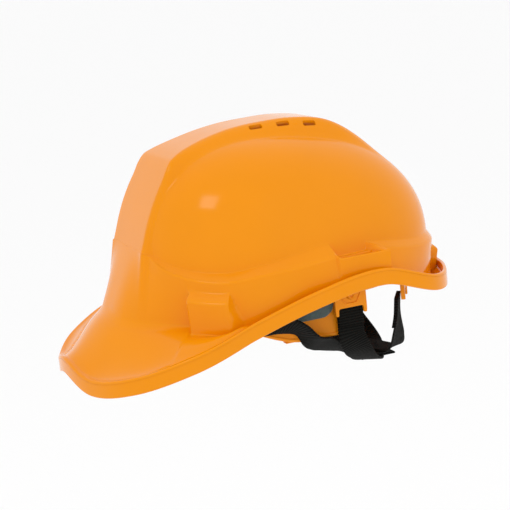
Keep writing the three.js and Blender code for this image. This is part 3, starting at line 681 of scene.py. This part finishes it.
def filleted(corners, radius, steps=5):
    """A closed outline with each corner turned by a small curve."""
    points = []
    count = len(corners)
    for i in range(count):
        before, corner, after = (np.array(corners[(i + k) % count], float) for k in (-1, 0, 1))
        ends = []
        for other in (before, after):
            gap = other - corner
            length = np.linalg.norm(gap)
            ends.append(corner + gap / length * min(radius, 0.45 * length))
        for k in range(steps + 1):
            t = k / steps
            points.append(tuple(ends[0] * (1 - t) ** 2 + corner * 2 * t * (1 - t) + ends[1] * t**2))
    return points


def oval(cx, cy, rx, ry, sides=32):
    return [(cx + rx * math.cos(math.tau * k / sides), cy + ry * math.sin(math.tau * k / sides))
            for k in range(sides)]


def slot_outline(along, low, high, radius, steps=10):
    top = [(along + radius * math.cos(math.pi * k / steps), high + radius * math.sin(math.pi * k / steps))
           for k in range(steps + 1)]
    bottom = [(along - radius * math.cos(math.pi * k / steps), low - radius * math.sin(math.pi * k / steps))
              for k in range(steps + 1)]
    return top + bottom


def facing(direction, place):
    """Stands a flat outline up to face a level direction; its x runs anticlockwise from above."""
    out = Vector(direction).normalized()
    up = Vector((0, 0, 1))
    along = up.cross(out)
    turn = Matrix((along, up, out)).transposed().to_4x4()
    return Matrix.Translation(Vector(place) * MM) @ turn


def rounded_box(name, low, high, radius, material, segments=4):
    """A box between two corners, in millimetres, with rounded edges."""
    shape = bmesh.new()
    bmesh.ops.create_cube(shape, size=1.0)
    size = [h - l for l, h in zip(low, high)]
    middle = [(l + h) / 2 for l, h in zip(low, high)]
    edges = list(shape.edges)
    bmesh.ops.scale(shape, vec=size, verts=shape.verts)
    bmesh.ops.bevel(shape, geom=edges, offset=radius, segments=segments, affect="EDGES", profile=0.5)
    bmesh.ops.translate(shape, vec=middle, verts=shape.verts)
    mesh = mesh_from(name, shape)
    mesh.transform(Matrix.Scale(MM, 4))
    soften(mesh, 50)
    mesh.materials.append(material)
    return placed(name, mesh)


def lathe(name, profile, place, material, sides=48, sharp=35):
    """A turned piece about its own Z axis; profile is (radius, height) from axis to axis."""
    verts, faces = [], []
    rings = []
    for r, h in profile:
        if r < 1e-6:
            rings.append([len(verts)])
            verts.append((0, 0, h))
        else:
            rings.append(list(range(len(verts), len(verts) + sides)))
            verts += [(r * math.cos(math.tau * k / sides), r * math.sin(math.tau * k / sides), h)
                      for k in range(sides)]
    for a, b in zip(rings, rings[1:]):
        for i in range(sides):
            j = (i + 1) % sides
            if len(a) == 1:
                faces.append((a[0], b[i], b[j]))
            elif len(b) == 1:
                faces.append((a[i], b[0], a[j]))
            else:
                faces.append((a[i], b[i], b[j], a[j]))
    obj = make_object(name, verts, faces, material, sharp)
    obj.data.transform(place)
    return obj


def mirrored(obj, name):
    """A copy of a piece on the wearer's right."""
    mesh = obj.data.copy()
    mesh.transform(Matrix.Scale(-1, 4, (1, 0, 0)))
    mesh.flip_normals()
    return placed(name, mesh)


def joined(name, pieces):
    """One object from several."""
    whole = bmesh.new()
    for piece in pieces:
        whole.from_mesh(piece.data)
    mesh = mesh_from(name, whole)
    soften(mesh, 40)
    for material in pieces[0].data.materials:
        mesh.materials.append(material)
    for piece in pieces:
        bpy.data.objects.remove(piece)
    return placed(name, mesh)


# ---- suspension clips
CLIP_X, CLIP_Y, CLIP_PLATE, CLIP_KEY_X = 77.0, 37.5, 3.0, 87.7
STUD_Z, HEIGHT_TRAVEL, STUD_RADIUS = 6.0, 8.0, 1.4


def clip_outline(half, legs_top, legs_low, top):
    """A plate with a leg at each side, as its left half and that half mirrored."""
    left = [(-half, top), (-half, legs_top), (-half + 1, legs_low), (-half + 3.5, legs_low),
            (-half + 3.9, legs_top - 1.5), (-half + 5.5, legs_top)]
    return left + [(-x, y) for x, y in reversed(left)]


def make_side_clip():
    """The side clips: a plate with the hanger's slot, a raised rim, and a key out to the shell."""
    left = [(-12, 22), (-12, -5), (-11.7, -8), (-9.5, -8), (-9.3, -3.6), (-8.4, -2.8)]
    outline = filleted(left + [(-x, y) for x, y in reversed(left)], 0.9)
    slot, rib_out, rib_in = (slot_outline(0, STUD_Z, STUD_Z + HEIGHT_TRAVEL, radius)
                             for radius in (STUD_RADIUS + 0.4, 3.6, 3.1))
    place = facing((1, 0, 0), (CLIP_X + CLIP_PLATE / 2, CLIP_Y, 0))
    body = plate("clip_body", [outline, slot], CLIP_PLATE, 0.45, place, FITTING)
    rim_out = filleted([(-10.6, 20), (-10.6, 11), (-4.4, -0.4), (4.4, -0.4), (10.6, 11), (10.6, 20)], 2.0)
    rim_in = filleted([(-9.7, 19.1), (-9.7, 11.2), (-3.9, 0.5), (3.9, 0.5), (9.7, 11.2), (9.7, 19.1)], 1.5)
    proud = facing((1, 0, 0), (CLIP_X + CLIP_PLATE, CLIP_Y, 0))
    rim = plate("clip_rim", [rim_out, rim_in], 1.1, 0.25, proud, FITTING)
    rib = plate("clip_rib", [rib_out, rib_in], 0.9, 0.2, proud, FITTING)
    key = rounded_box("clip_key", (CLIP_X + 1, CLIP_Y - 8, 18), (CLIP_KEY_X, CLIP_Y + 8, 22), 0.6, FITTING, 2)
    left = joined("side_clip_moulding_left", [body, rim, rib, key])
    on_both_sides(left, "side_clip_moulding", "helmet", "orange_fittings", "side_clip")


def make_round_clip(name, node, angle, reach, low, high, key_reach):
    """A clip at an angle from the front, with its mirror image; key_reach is how far its key goes out."""
    half = 10.0
    turn = math.radians(angle)
    out = Vector((math.sin(turn), -math.cos(turn), 0))
    outline = filleted(clip_outline(half, low + 7.5, low, high), 1.1)
    place = facing(out, out * (reach + CLIP_PLATE / 2))
    hole = oval(0, low + 13, 2.4, 1.6)
    body = plate("clip_body", [outline, hole], CLIP_PLATE, 0.45, place, FITTING)
    proud = facing(out, out * (reach + CLIP_PLATE))
    top = high - 2.5
    rim_out = filleted([(-7.6, top), (-7.6, low + 9.6), (7.6, low + 9.6), (7.6, top)], 1.8)
    rim_in = filleted([(-6.5, top - 1.1), (-6.5, low + 10.7), (6.5, low + 10.7), (6.5, top - 1.1)], 1.2)
    rim = plate("clip_rim", [rim_out, rim_in], 1.0, 0.22, proud, FITTING)
    key_low, key_high = (-half + 3, reach + 1, high - 8), (half - 3, key_reach, high - 2)
    block = rounded_box("clip_key", key_low, key_high, 0.6, FITTING, 2)
    block.data.transform(Matrix.Rotation(turn - math.pi, 4, "Z"))
    left = joined(name + "_left", [body, rim, block])
    on_both_sides(left, name, "helmet", "orange_fittings", node)


# ---- webbing cradle
WEB_WIDTH, WEB_THICKNESS = 19.5, 1.5
CROWN_Y = 84.0
LEVEL_SIDE, LEVEL_LEFT, LEVEL_RIGHT, LEVEL_PATCH = -59.0, -57.2, -55.4, -60.8
PATCH_HALF, PATCH_WIDTH = 17, 28


def side_web_pairs():
    half = [((76.05, 37.5, -2.6), (0, 1, 0)), ((76.05, 37.5, -14), (0, 1, 0)), ((75.8, 37.8, -24), (0, 1, 0)),
            ((72, 42.5, -34.5), (0.2, 0.95, 0.1)), ((60, 52, -45), (0.5, 0.85, 0.05)),
            ((40, 64.5, -54), (0.55, 0.83, 0)), ((22, 74.5, LEVEL_SIDE), (0.4, 0.9, 0))]
    other = [((-x, y, z), (-a, b, c)) for (x, y, z), (a, b, c) in reversed(half)]
    return half + [((0, CROWN_Y - 2, LEVEL_SIDE), (0, 1, 0))] + other


def diagonal_web_pairs(side, level):
    pairs = [((68.6, -57, 2), (0, 0, 1)), ((75.5, -48.5, 0.5), (0, 0, 1)), ((81, -34, -1.5), (0.25, 0, 1)),
             ((84, -17, -4), (0.6, 0, 0.8)), ((85, -4, -10), (0.82, 0, 0.55)),
             ((82.8, 5, -19), (0.86, 0.05, 0.48)), ((72.5, 16, -26.5), (0.8, 0.2, 0.5)),
             ((62, 27.5, -33), (0.75, 0.5, 0.3)), ((51, 40, -39.5), (0.7, 0.7, 0.1)),
             ((38, 53, -46), (0.66, 0.74, 0)), ((19, 73.5, level), (0.5, 0.86, 0)),
             ((0, CROWN_Y, level), (0.44, 0.88, 0)), ((-19, 92, level), (0.44, 0.9, 0)),
             ((-36, 89.5, -46.5), (0.6, 0.78, 0.1)), ((-47, 86.2, -34), (0.72, 0.65, 0)),
             ((-52, 86, -18), (0.85, 0.53, 0)), ((-53.2, 86.6, -8), (0.85, 0.53, 0))]
    return [((side * x, y, z), (side * a, b, c)) for (x, y, z), (a, b, c) in pairs]


def end_stitches(frames, count, side):
    """A sewn box with a cross on a strap's end; side is the face that shows it."""
    at, _, across, out = frames
    face = WEB_THICKNESS / 2 * side * 2.05
    inset = WEB_WIDTH / 2 - 2.2
    first, last = 3, count - 3

    def corner(i, s):
        return at[i] + across[i] * s * inset + out[i] * face

    normal = out[(first + last) // 2] * side
    return sewn_box(corner(first, -1), corner(first, 1), corner(last, 1), corner(last, -1), normal)


def make_web(name, node, pairs, folds):
    """One web with its folded ends; a fold is (at the start, count of places, side that it lies on)."""
    steps = 260
    frames = strap_frames(pairs, steps)
    web = ribbon(name, frames, WEB_WIDTH, WEB_THICKNESS, WEBBING)
    standing_for(web, "helmet", "webbing", node)
    rows = []
    for k, (at_start, count, side) in enumerate(folds):
        part = cut_frames(frames, 0, count) if at_start else cut_frames(frames, steps + 1 - count, steps + 1)
        shift = side * WEB_THICKNESS
        fold = ribbon(f"{name}_fold_{k}", part, WEB_WIDTH - 0.4, WEB_THICKNESS, WEBBING, shift)
        standing_for(fold, "helmet", "webbing")
        rows += end_stitches(part, count, side)
    threads = stitch_rows(f"{name}_stitches", rows, THREAD)
    standing_for(threads, "helmet", "webbing")


def make_crown_patch():
    """The pad under the crossing of the webs, sewn through them."""
    frames_at = np.array([(x, CROWN_Y - 1, LEVEL_PATCH) for x in np.linspace(-PATCH_HALF, PATCH_HALF, 40)])
    along = np.tile([1.0, 0, 0], (40, 1))
    across = np.tile([0, 1.0, 0], (40, 1))
    frames = (frames_at, along, across, np.cross(along, across))
    patch = ribbon("crown_pad", frames, PATCH_WIDTH, WEB_THICKNESS, WEBBING)
    standing_for(patch, "helmet", "webbing", "crown_patch")
    low = LEVEL_PATCH - WEB_THICKNESS / 2
    x, front, back = PATCH_HALF - 2.5, CROWN_Y - 12.5, CROWN_Y + 10.5
    rows = sewn_box((-x, front, low), (x, front, low), (x, back, low), (-x, back, low), (0, 0, -1))
    threads = stitch_rows("crown_pad_stitches", rows, THREAD)
    standing_for(threads, "helmet", "webbing")


# ---- headband
BAND_X, BAND_CENTRE, BAND_REACH, BAND_BACK = 72.6, -12.0, 80.0, 46.0
BAND_THICKNESS, BAND_HEIGHT, BAND_TOP = 1.2, 33.4, 11.0
BAND_LIFT, BAND_LIFT_FROM, BAND_LIFT_TO = 19.0, 5, -60
HOLES, HOLE_FIRST, HOLE_SPACING, HOLE_BELOW_TOP = 7, 11, 13.7, 28.4
HOLE_RADII = (2.0, 3.4)
SWEAT_BACK, FOAM_FULL, FOAM_END, RIB_PITCH = 27.0, -8, -2, 3.6
GUIDE_FRONT, GUIDE_BACK, GUIDE_LOW, GUIDE_HIGH, GUIDE_DEPTH = -10, -2, -21.8, -8.6, 6
GAP = 0.3


def band_top(y):
    return BAND_TOP + BAND_LIFT * smooth(BAND_LIFT_FROM, BAND_LIFT_TO, y)


def band_frames(back, steps):
    """Places round the front half of the band, with the direction out of it, from left to right."""
    straight = np.linspace(back, BAND_CENTRE, 30)[:-1]
    places = [(BAND_X, y, 1.0, 0.0) for y in straight]
    for k in range(steps + 1):
        turn = math.pi * k / steps
        x, y = BAND_X * math.cos(turn), BAND_CENTRE - BAND_REACH * math.sin(turn)
        out = unit(np.array([x / BAND_X**2, (y - BAND_CENTRE) / BAND_REACH**2]))
        places.append((x, y, out[0], out[1]))
    places += [(-BAND_X, y, -1.0, 0.0) for y in reversed(straight)]
    at = np.array([(x, y, band_top(y)) for x, y, _, _ in places])
    out = np.array([(a, b, 0.0) for _, _, a, b in places])
    return at, out


def hole_cutter(side, y):
    """An oval drum that cuts one hole, nearly square to the band."""
    turn = math.asin(max(0, (BAND_CENTRE - y) / BAND_REACH))
    out = (side * math.cos(turn), -math.sin(turn) * 0.9, 0)
    place = (side * BAND_X * math.cos(turn), y, band_top(y) - HOLE_BELOW_TOP)
    return plate("hole", [oval(0, 0, *HOLE_RADII, 28)], 12, 0.2, facing(out, place), BAND_PLASTIC)


def make_headband():
    """The perforated front strap and the thicker rib along its lower edge."""
    at, out = band_frames(BAND_BACK, 200)
    up = np.array([0, 0, 1.0])
    section = rounded_section(BAND_HEIGHT, BAND_THICKNESS, 0.5, 3, 7)
    lip = rounded_section(2.0, BAND_THICKNESS + 1.2, 0.6, 3, 1)
    rings = np.stack([at + up * (a - BAND_HEIGHT / 2) + out * o for a, o in section], axis=1)
    strap = make_object("headband_moulding", *loft(rings), BAND_PLASTIC, 40)
    cut(strap, [hole_cutter(side, HOLE_FIRST - HOLE_SPACING * k) for side in (-1, 1) for k in range(HOLES)])
    strap.data.set_sharp_from_angle(angle=math.radians(40))
    standing_for(strap, "headband", "headband", "headband")
    rings = np.stack([at + up * (a - BAND_HEIGHT + 1.6) + out * o for a, o in lip], axis=1)
    hem = make_object("headband_lower_rib", *loft(rings), BAND_PLASTIC, 40)
    standing_for(hem, "headband", "headband")


def make_sweatband():
    """A ribbed pad folded over the band: a flap outside, foam inside, both shorter at its ends."""
    at, out = band_frames(SWEAT_BACK, 420)
    along = np.concatenate([[0], np.cumsum(np.linalg.norm(np.diff(at[:, :2], axis=0), axis=1))])
    total = along[-1]
    flat = np.ones_like(along)
    from_end = np.minimum(along, total - along)
    end_round = np.sqrt(np.clip(1 - (1 - np.clip(from_end / 9.0, 0, 1)) ** 2, 0.0, 1))
    down = 8.0 + 11.0 * end_round
    foam = 1 - smooth(FOAM_FULL, FOAM_END, at[:, 1])
    down_inside = down * (0.15 + 0.85 * foam)
    thick_inside = 0.8 + 2.8 * foam
    half = BAND_THICKNESS / 2 + GAP
    rows = []

    def add(offset, height, puff=0.0):
        rib = 0.32 * np.sin(math.tau * (along + 0.35 * height) / RIB_PITCH) * min(1.0, abs(puff) * 2)
        rows.append(at + out * (offset + rib * math.copysign(1, puff if puff else 1))[:, None]
                    + np.array([0, 0, 1.0]) * np.reshape(height, (-1, 1)))

    flap = [(-1.0, half + 0.2, 0.0), (-0.97, half + 1.2, 0.5), (0.0, half + 1.5, 1.0)]
    flap[2:2] = [(share, half + 1.6, 1.0) for share in (-0.8, -0.6, -0.4, -0.2)]
    for share, offset, puff in flap:
        add(offset * flat, down * share, puff)
    for turn in np.radians([30, 60, 90, 120, 150]):
        thick = 1.5 if turn < math.pi / 2 else thick_inside
        add((half + thick) * math.cos(turn) * flat, 2.1 * math.sin(turn) * flat)
    for share in (0.0, 0.12, 0.3, 0.5, 0.7, 0.86, 0.95, 1.0):
        crown = (1 - abs(2 * share - 1) ** 3) * 0.9
        offset = -(half + thick_inside + crown * foam) if share < 0.99 else -(half + 0.6 * thick_inside)
        add(offset, -down_inside * share, -1.0 if 0.05 < share < 0.97 else 0.0)
    add(-half * flat, -down_inside * 0.99)
    add(-half * flat, 0.3 * flat)
    add(half * flat, 0.3 * flat)
    rings = np.stack(rows, axis=1)
    pad = make_object("sweatband_pad", *loft(rings), SWEAT_FABRIC, 60)
    standing_for(pad, "headband", "sweatband", "sweatband")


def make_hangers():
    """The blocks that hang the band from the side clips, and the pins through the clips' slots."""
    outline = filleted([(-5, -4.8), (5, -4.8), (5, 5.2), (-5, 5.2)], 1.6)
    inner = BAND_X + BAND_THICKNESS / 2 + GAP
    depth = CLIP_X - GAP - inner
    place = facing((1, 0, 0), (inner + depth / 2, CLIP_Y, STUD_Z))
    block = plate("headband_hanger_block_left", [outline], depth, 0.5, place, BAND_PLASTIC)
    on_both_sides(block, "headband_hanger_block", "headband", "headband", "headband_hanger")
    under = CLIP_PLATE + 0.7
    head = STUD_RADIUS + 1.2
    profile = [(0, 0), (STUD_RADIUS, 0), (STUD_RADIUS, under)]
    for inset, rise in ((0.3, 0), (0, 0.25), (0, 0.7), (0.2, 1.2), (0.6, 1.5), (1.1, 1.3), (1.4, 0.7)):
        profile.append((head - inset, under + rise))
    profile.append((0, under + 0.6))
    stud = lathe("hanger_pin_left", profile, facing((1, 0, 0), (CLIP_X, CLIP_Y, STUD_Z)), FITTING)
    on_both_sides(stud, "hanger_pin", "headband", "orange_fittings", "hanger_stud")


def make_guides():
    """The loops inside the band that the size straps slide through."""
    inner = BAND_X - BAND_THICKNESS / 2 - GAP
    low, high = (inner - GUIDE_DEPTH, GUIDE_FRONT, GUIDE_LOW), (inner, GUIDE_BACK, GUIDE_HIGH)
    body = rounded_box("size_loop_left", low, high, 0.55, BAND_PLASTIC, 3)
    low, high = (inner - 4.7, GUIDE_FRONT - 2, GUIDE_LOW + 1.3), (inner + 5, GUIDE_BACK + 2, GUIDE_HIGH - 1.3)
    tunnel = rounded_box("tunnel", low, high, 0.3, BAND_PLASTIC, 2)
    cut(body, [tunnel])
    on_both_sides(body, "size_loop", "headband", "headband", "size_guide")


# ---- size strap and ratchet
REAR_X, REAR_FRONT, REAR_STRAIGHT = 67.9, -11.0, 50.0
REAR_CORNER, REAR_Y, REAR_LAYER = 18.5, 98.0, 1.8
REAR_LOW, REAR_HIGH, STEP_FROM, REAR_THICKNESS = -15.2, 9.0, 23.0, 1.2
REAR_HEIGHT, RACK_HEIGHT, REAR_TAIL = 10.0, 14.0, -17.0
SLOT_HALF, SLOT_HIGH, TOOTH_PITCH, TOOTH_TIP = 14, 4.2, 2.0, -3.1
KNOB_Z, KNOB_RADIUS, KNOB_DEPTH = 14.0, 10.95, 8.0
KNOB_FLUTES, FLUTE_DEPTH, PINION_TEETH = 12, 0.9, 10
CASE_HALF = 23
PAD_HALF, PAD_RISE, CHANNEL_PITCH = 28.8, 9.9, 4.2
HOUSING_FRONT, HOUSING_BACK = REAR_Y - 3, REAR_Y + 5
COVER_FRONT, COVER_BACK = HOUSING_BACK + GAP, HOUSING_BACK + GAP + 3


def rear_place(y):
    """Faces a flat outline to the rear on the knob's axis."""
    return facing((0, 1, 0), (0, y, KNOB_Z))


def make_size_strap(name, node, side, y):
    """One rear strap: forward and low at its guide, up and round to the ratchet, with a toothed slot."""
    steps = 90
    stations = []
    for v in np.linspace(REAR_FRONT, REAR_STRAIGHT, 60)[:-1]:
        rise = (REAR_HIGH - REAR_LOW) * float(smooth(STEP_FROM, REAR_STRAIGHT, v))
        stations.append((REAR_X, v, REAR_LOW + rise, 1, 0, REAR_HEIGHT))
    for k in range(steps + 1):
        t = k / steps
        out_x, out_y = math.cos(math.pi / 2 * t), math.sin(math.pi / 2 * t)
        stations.append((REAR_CORNER + (REAR_X - REAR_CORNER) * out_x,
                         REAR_STRAIGHT + (y - REAR_STRAIGHT) * out_y,
                         REAR_HIGH + (KNOB_Z - REAR_HIGH) * float(smooth(0, 0.8, t)), out_x, out_y,
                         REAR_HEIGHT + (RACK_HEIGHT - REAR_HEIGHT) * float(smooth(0, 0.6, t))))
    stations += [(x, y, KNOB_Z, 0, 1, RACK_HEIGHT) for x in np.linspace(REAR_CORNER, REAR_TAIL, 12)[1:]]
    rings = []
    for x, place_y, z, out_x, out_y, height in stations:
        section = rounded_section(height, REAR_THICKNESS, 0.5, 3, 3)
        rings.append([(side * (x + out_x * o), place_y + out_y * o, z + a) for a, o in section])
    strap = make_object(name, *loft(rings), BAND_PLASTIC, 40)
    outline = [(SLOT_HALF, SLOT_HIGH), (-SLOT_HALF, SLOT_HIGH)]
    for k in range(int(2 * SLOT_HALF / TOOTH_PITCH)):
        x = -SLOT_HALF + TOOTH_PITCH * k
        outline += [(x, -SLOT_HIGH), (x + TOOTH_PITCH * 0.35, -SLOT_HIGH),
                    (x + TOOTH_PITCH * 0.5, TOOTH_TIP), (x + TOOTH_PITCH * 0.85, TOOTH_TIP)]
    outline.append((SLOT_HALF, -SLOT_HIGH))
    slot = plate("slot", [outline], 6, 0.05, facing((0, side, 0), (0, y, KNOB_Z)), BAND_PLASTIC)
    cut(strap, [slot])
    strap.data.set_sharp_from_angle(angle=math.radians(40))
    standing_for(strap, "size_strap", "headband", node)


def make_ratchet():
    """The ratchet's case, with a tunnel for the straps and a bore for the shaft, and its cover."""
    low, high = (-CASE_HALF, HOUSING_FRONT, KNOB_Z - 10.5), (CASE_HALF, HOUSING_BACK, KNOB_Z + 10.5)
    body = rounded_box("ratchet_case", low, high, 1.9, BLACK_PLASTIC, 5)
    low, high = (-30, REAR_Y - 1, KNOB_Z - 7.5), (30, REAR_Y + 3.2, KNOB_Z + 7.5)
    tunnel = rounded_box("tunnel", low, high, 0.3, BLACK_PLASTIC, 2)
    bore = plate("bore", [oval(0, 0, 3.9, 3.9, 40)], 12, 0.1, rear_place(REAR_Y + 3), BLACK_PLASTIC)
    cut(body, [tunnel, bore])
    body.data.set_sharp_from_angle(angle=math.radians(40))
    standing_for(body, "size_strap", "ratchet", "ratchet_housing")
    face = [oval(0, 0, 21, 9.8, 72), oval(0, 0, 2.7, 2.7, 28)]
    cap = plate("cover_plate", face, 3, 0.9, rear_place((COVER_FRONT + COVER_BACK) / 2), BLACK_PLASTIC)
    raised = [oval(0, 0, 18.4, 8.2, 72), oval(0, 0, 17.6, 7.5, 72)]
    ring = plate("cover_ring", raised, 0.3, 0.08, rear_place(COVER_BACK), BLACK_PLASTIC)
    standing_for(joined("ratchet_cover_plate", [cap, ring]), "size_strap", "ratchet", "ratchet_cover")


def make_knob():
    """The knob with its grip flutes and cap, and the pinion with its shaft."""
    count = 192
    grip = []
    for k in range(count):
        turn = math.tau * k / count
        dip = max(0.0, math.cos(KNOB_FLUTES * turn)) ** 1.5
        radius = KNOB_RADIUS - FLUTE_DEPTH * dip
        grip.append((radius * math.cos(turn), radius * math.sin(turn)))
    back = COVER_BACK + GAP
    wheel = plate("knob_wheel", [grip], KNOB_DEPTH, 0.9, rear_place(back + KNOB_DEPTH / 2), BLACK_PLASTIC)
    profile = [(0, -0.4), (8.6, -0.4), (8.6, 0.1), (8.2, 0.45), (7.2, 0.5), (6.6, 0.2), (0, 0.0)]
    cap = lathe("knob_cap", profile, rear_place(back + KNOB_DEPTH - 0.1), BLACK_PLASTIC, 72)
    standing_for(joined("size_knob_moulding", [wheel, cap]), "knob", "ratchet", "size_knob")
    gear = []
    for k in range(PINION_TEETH):
        for share, radius in ((0.0, 2.5), (0.2, 2.5), (0.38, 3.4), (0.62, 3.4), (0.8, 2.5)):
            turn = math.tau * (k + share) / PINION_TEETH
            gear.append((radius * math.cos(turn), radius * math.sin(turn)))
    drum = plate("pinion_teeth", [gear], 5.6, 0.15, rear_place(REAR_Y - 0.9 + 2.8), BLACK_PLASTIC)
    ends = [oval(0, 0, 2.3, 2.3, 32)]
    shaft = plate("pinion_shaft", ends, 3.6, 0.2, rear_place(REAR_Y - 0.9 + 7.4), BLACK_PLASTIC)
    standing_for(joined("pinion_gear", [drum, shaft]), "knob", "ratchet", "pinion")


def power(value, exponent):
    """A power that keeps the value's sign."""
    return math.copysign(abs(value) ** exponent, value)


def make_nape_pad():
    """A crowned foam pad, flat against the housing, with sewn channels across it."""
    verts, faces = [], []
    rows, columns = 48, 160
    for r in range(rows + 1):
        up = -math.pi / 2 + math.pi * r / rows
        for c in range(columns):
            turn = math.tau * c / columns
            x = PAD_HALF * power(math.cos(up), 0.35) * power(math.cos(turn), 0.3)
            z = PAD_RISE * power(math.cos(up), 0.35) * power(math.sin(turn), 0.3)
            depth = power(math.sin(up), 0.6)
            channel = 0.28 * math.cos(math.tau * x / CHANNEL_PITCH) if depth < 0 else 0.0
            y = depth * (2.25 + channel * min(1.0, -depth)) if depth < 0 else depth * 2.2
            verts.append((x, HOUSING_FRONT - GAP - 2.3 + y, KNOB_Z + z))
    for r in range(rows):
        for c in range(columns):
            d = (c + 1) % columns
            faces.append((r * columns + c, r * columns + d, (r + 1) * columns + d, (r + 1) * columns + c))
    pad = make_object("nape_cushion", verts, faces, SWEAT_FABRIC, 60)
    standing_for(pad, "size_strap", "sweatband", "nape_pad")


def make_cradle():
    """The three webs, each with its folded ends, and the pad under their crossing."""
    make_web("side_web", "cradle_web_side", side_web_pairs(), [(True, 24, 1), (False, 24, 1)])
    for hand, side, level in (("left", 1, LEVEL_LEFT), ("right", -1, LEVEL_RIGHT)):
        make_web("diagonal_web_" + hand, "cradle_web_diagonal_" + hand, diagonal_web_pairs(side, level),
                 [(True, 20, -1), (False, 28, 1)])
    make_crown_patch()


# ---- camera, floor and light
VIEW_AZIMUTH, VIEW_ELEVATION, VIEW_ROLL = 70.0, 13.2, -6.2
VIEW_DISTANCE = 1.1
LENS = 106.4
AIM_RIGHT, AIM_UP = -0.00256, 0.02737
FLOOR_DROP, FLOOR_HALF = 0.45, 40.0


def make_camera():
    """The camera at the view's angles and roll, its aim moved by AIM_RIGHT and AIM_UP."""
    azimuth, elevation, roll = (math.radians(v) for v in (VIEW_AZIMUTH, VIEW_ELEVATION, VIEW_ROLL))
    back = Vector((math.sin(azimuth) * math.cos(elevation), -math.cos(azimuth) * math.cos(elevation),
                   math.sin(elevation)))
    level = Vector((math.cos(azimuth), math.sin(azimuth), 0))
    upright = back.cross(level)
    right = level * math.cos(roll) + upright * math.sin(roll)
    up = upright * math.cos(roll) - level * math.sin(roll)
    data = bpy.data.cameras.new("camera")
    data.lens = LENS
    data.clip_start, data.clip_end = 0.05, 120
    camera = placed("camera", data)
    place = back * VIEW_DISTANCE
    look = (place - right * AIM_RIGHT - up * AIM_UP).normalized()
    up = (up - look * up.dot(look)).normalized()
    right = up.cross(look)
    axes = Matrix((right, up, look)).transposed().to_4x4()
    camera.matrix_world = Matrix.Translation(place) @ axes
    bpy.context.scene.camera = camera


def make_floor():
    """A pale floor well below the object, so that it shows no shadow in the view."""
    mesh = bpy.data.meshes.new("floor")
    z = CAD_BOX[0].z - FLOOR_DROP
    corners = [(x * FLOOR_HALF, y * FLOOR_HALF, z) for x, y in ((-1, -1), (1, -1), (1, 1), (-1, 1))]
    mesh.from_pydata(corners, [], [(0, 1, 2, 3)])
    floor = placed("floor", mesh)
    mesh.materials.append(principled("floor_paint", (0.96, 0.96, 0.96), 0.9)[0])


def area_light(name, place, aim, size, power):
    """A square lamp at a place in metres, turned to its aim."""
    data = bpy.data.lights.new(name, "AREA")
    data.size = size
    data.energy = power
    light = placed(name, data)
    light.location = place
    light.rotation_mode = "QUATERNION"
    light.rotation_quaternion = (Vector(aim) - Vector(place)).to_track_quat("-Z", "Y")


def make_light():
    """An even white surround and two lamps."""
    world = bpy.data.worlds.new("studio")
    bpy.context.scene.world = world
    world.use_nodes = True
    set_sockets(world.node_tree.nodes["Background"], {"Color": (1, 1, 1, 1), "Strength": 1.0})
    area_light("key", (0.9, -1.0, 1.6), (0, 0, 0.05), 0.5, 4.5)
    area_light("fill", (1.4, 0.9, 0.7), (0, 0, 0.03), 1.8, 1.0)
    bpy.context.scene.view_settings.view_transform = "Standard"


make_camera()
make_shell()
make_side_clip()
make_round_clip("front_clip_moulding", "front_clip", 51, 92, -8, 18, 100)
make_round_clip("rear_clip_moulding", "rear_clip", 148, 104.5, -9.5, 14, 113)
make_cradle()
make_headband()
make_sweatband()
make_hangers()
make_guides()
make_size_strap("size_strap_moulding_left", "size_strap_left", 1, REAR_Y)
make_size_strap("size_strap_moulding_right", "size_strap_right", -1, REAR_Y + REAR_LAYER)
make_ratchet()
make_knob()
make_nape_pad()
spring_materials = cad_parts["detent_spring"].data.materials
spring_materials.clear()
spring_materials.append(STEEL)
make_floor()
make_light()
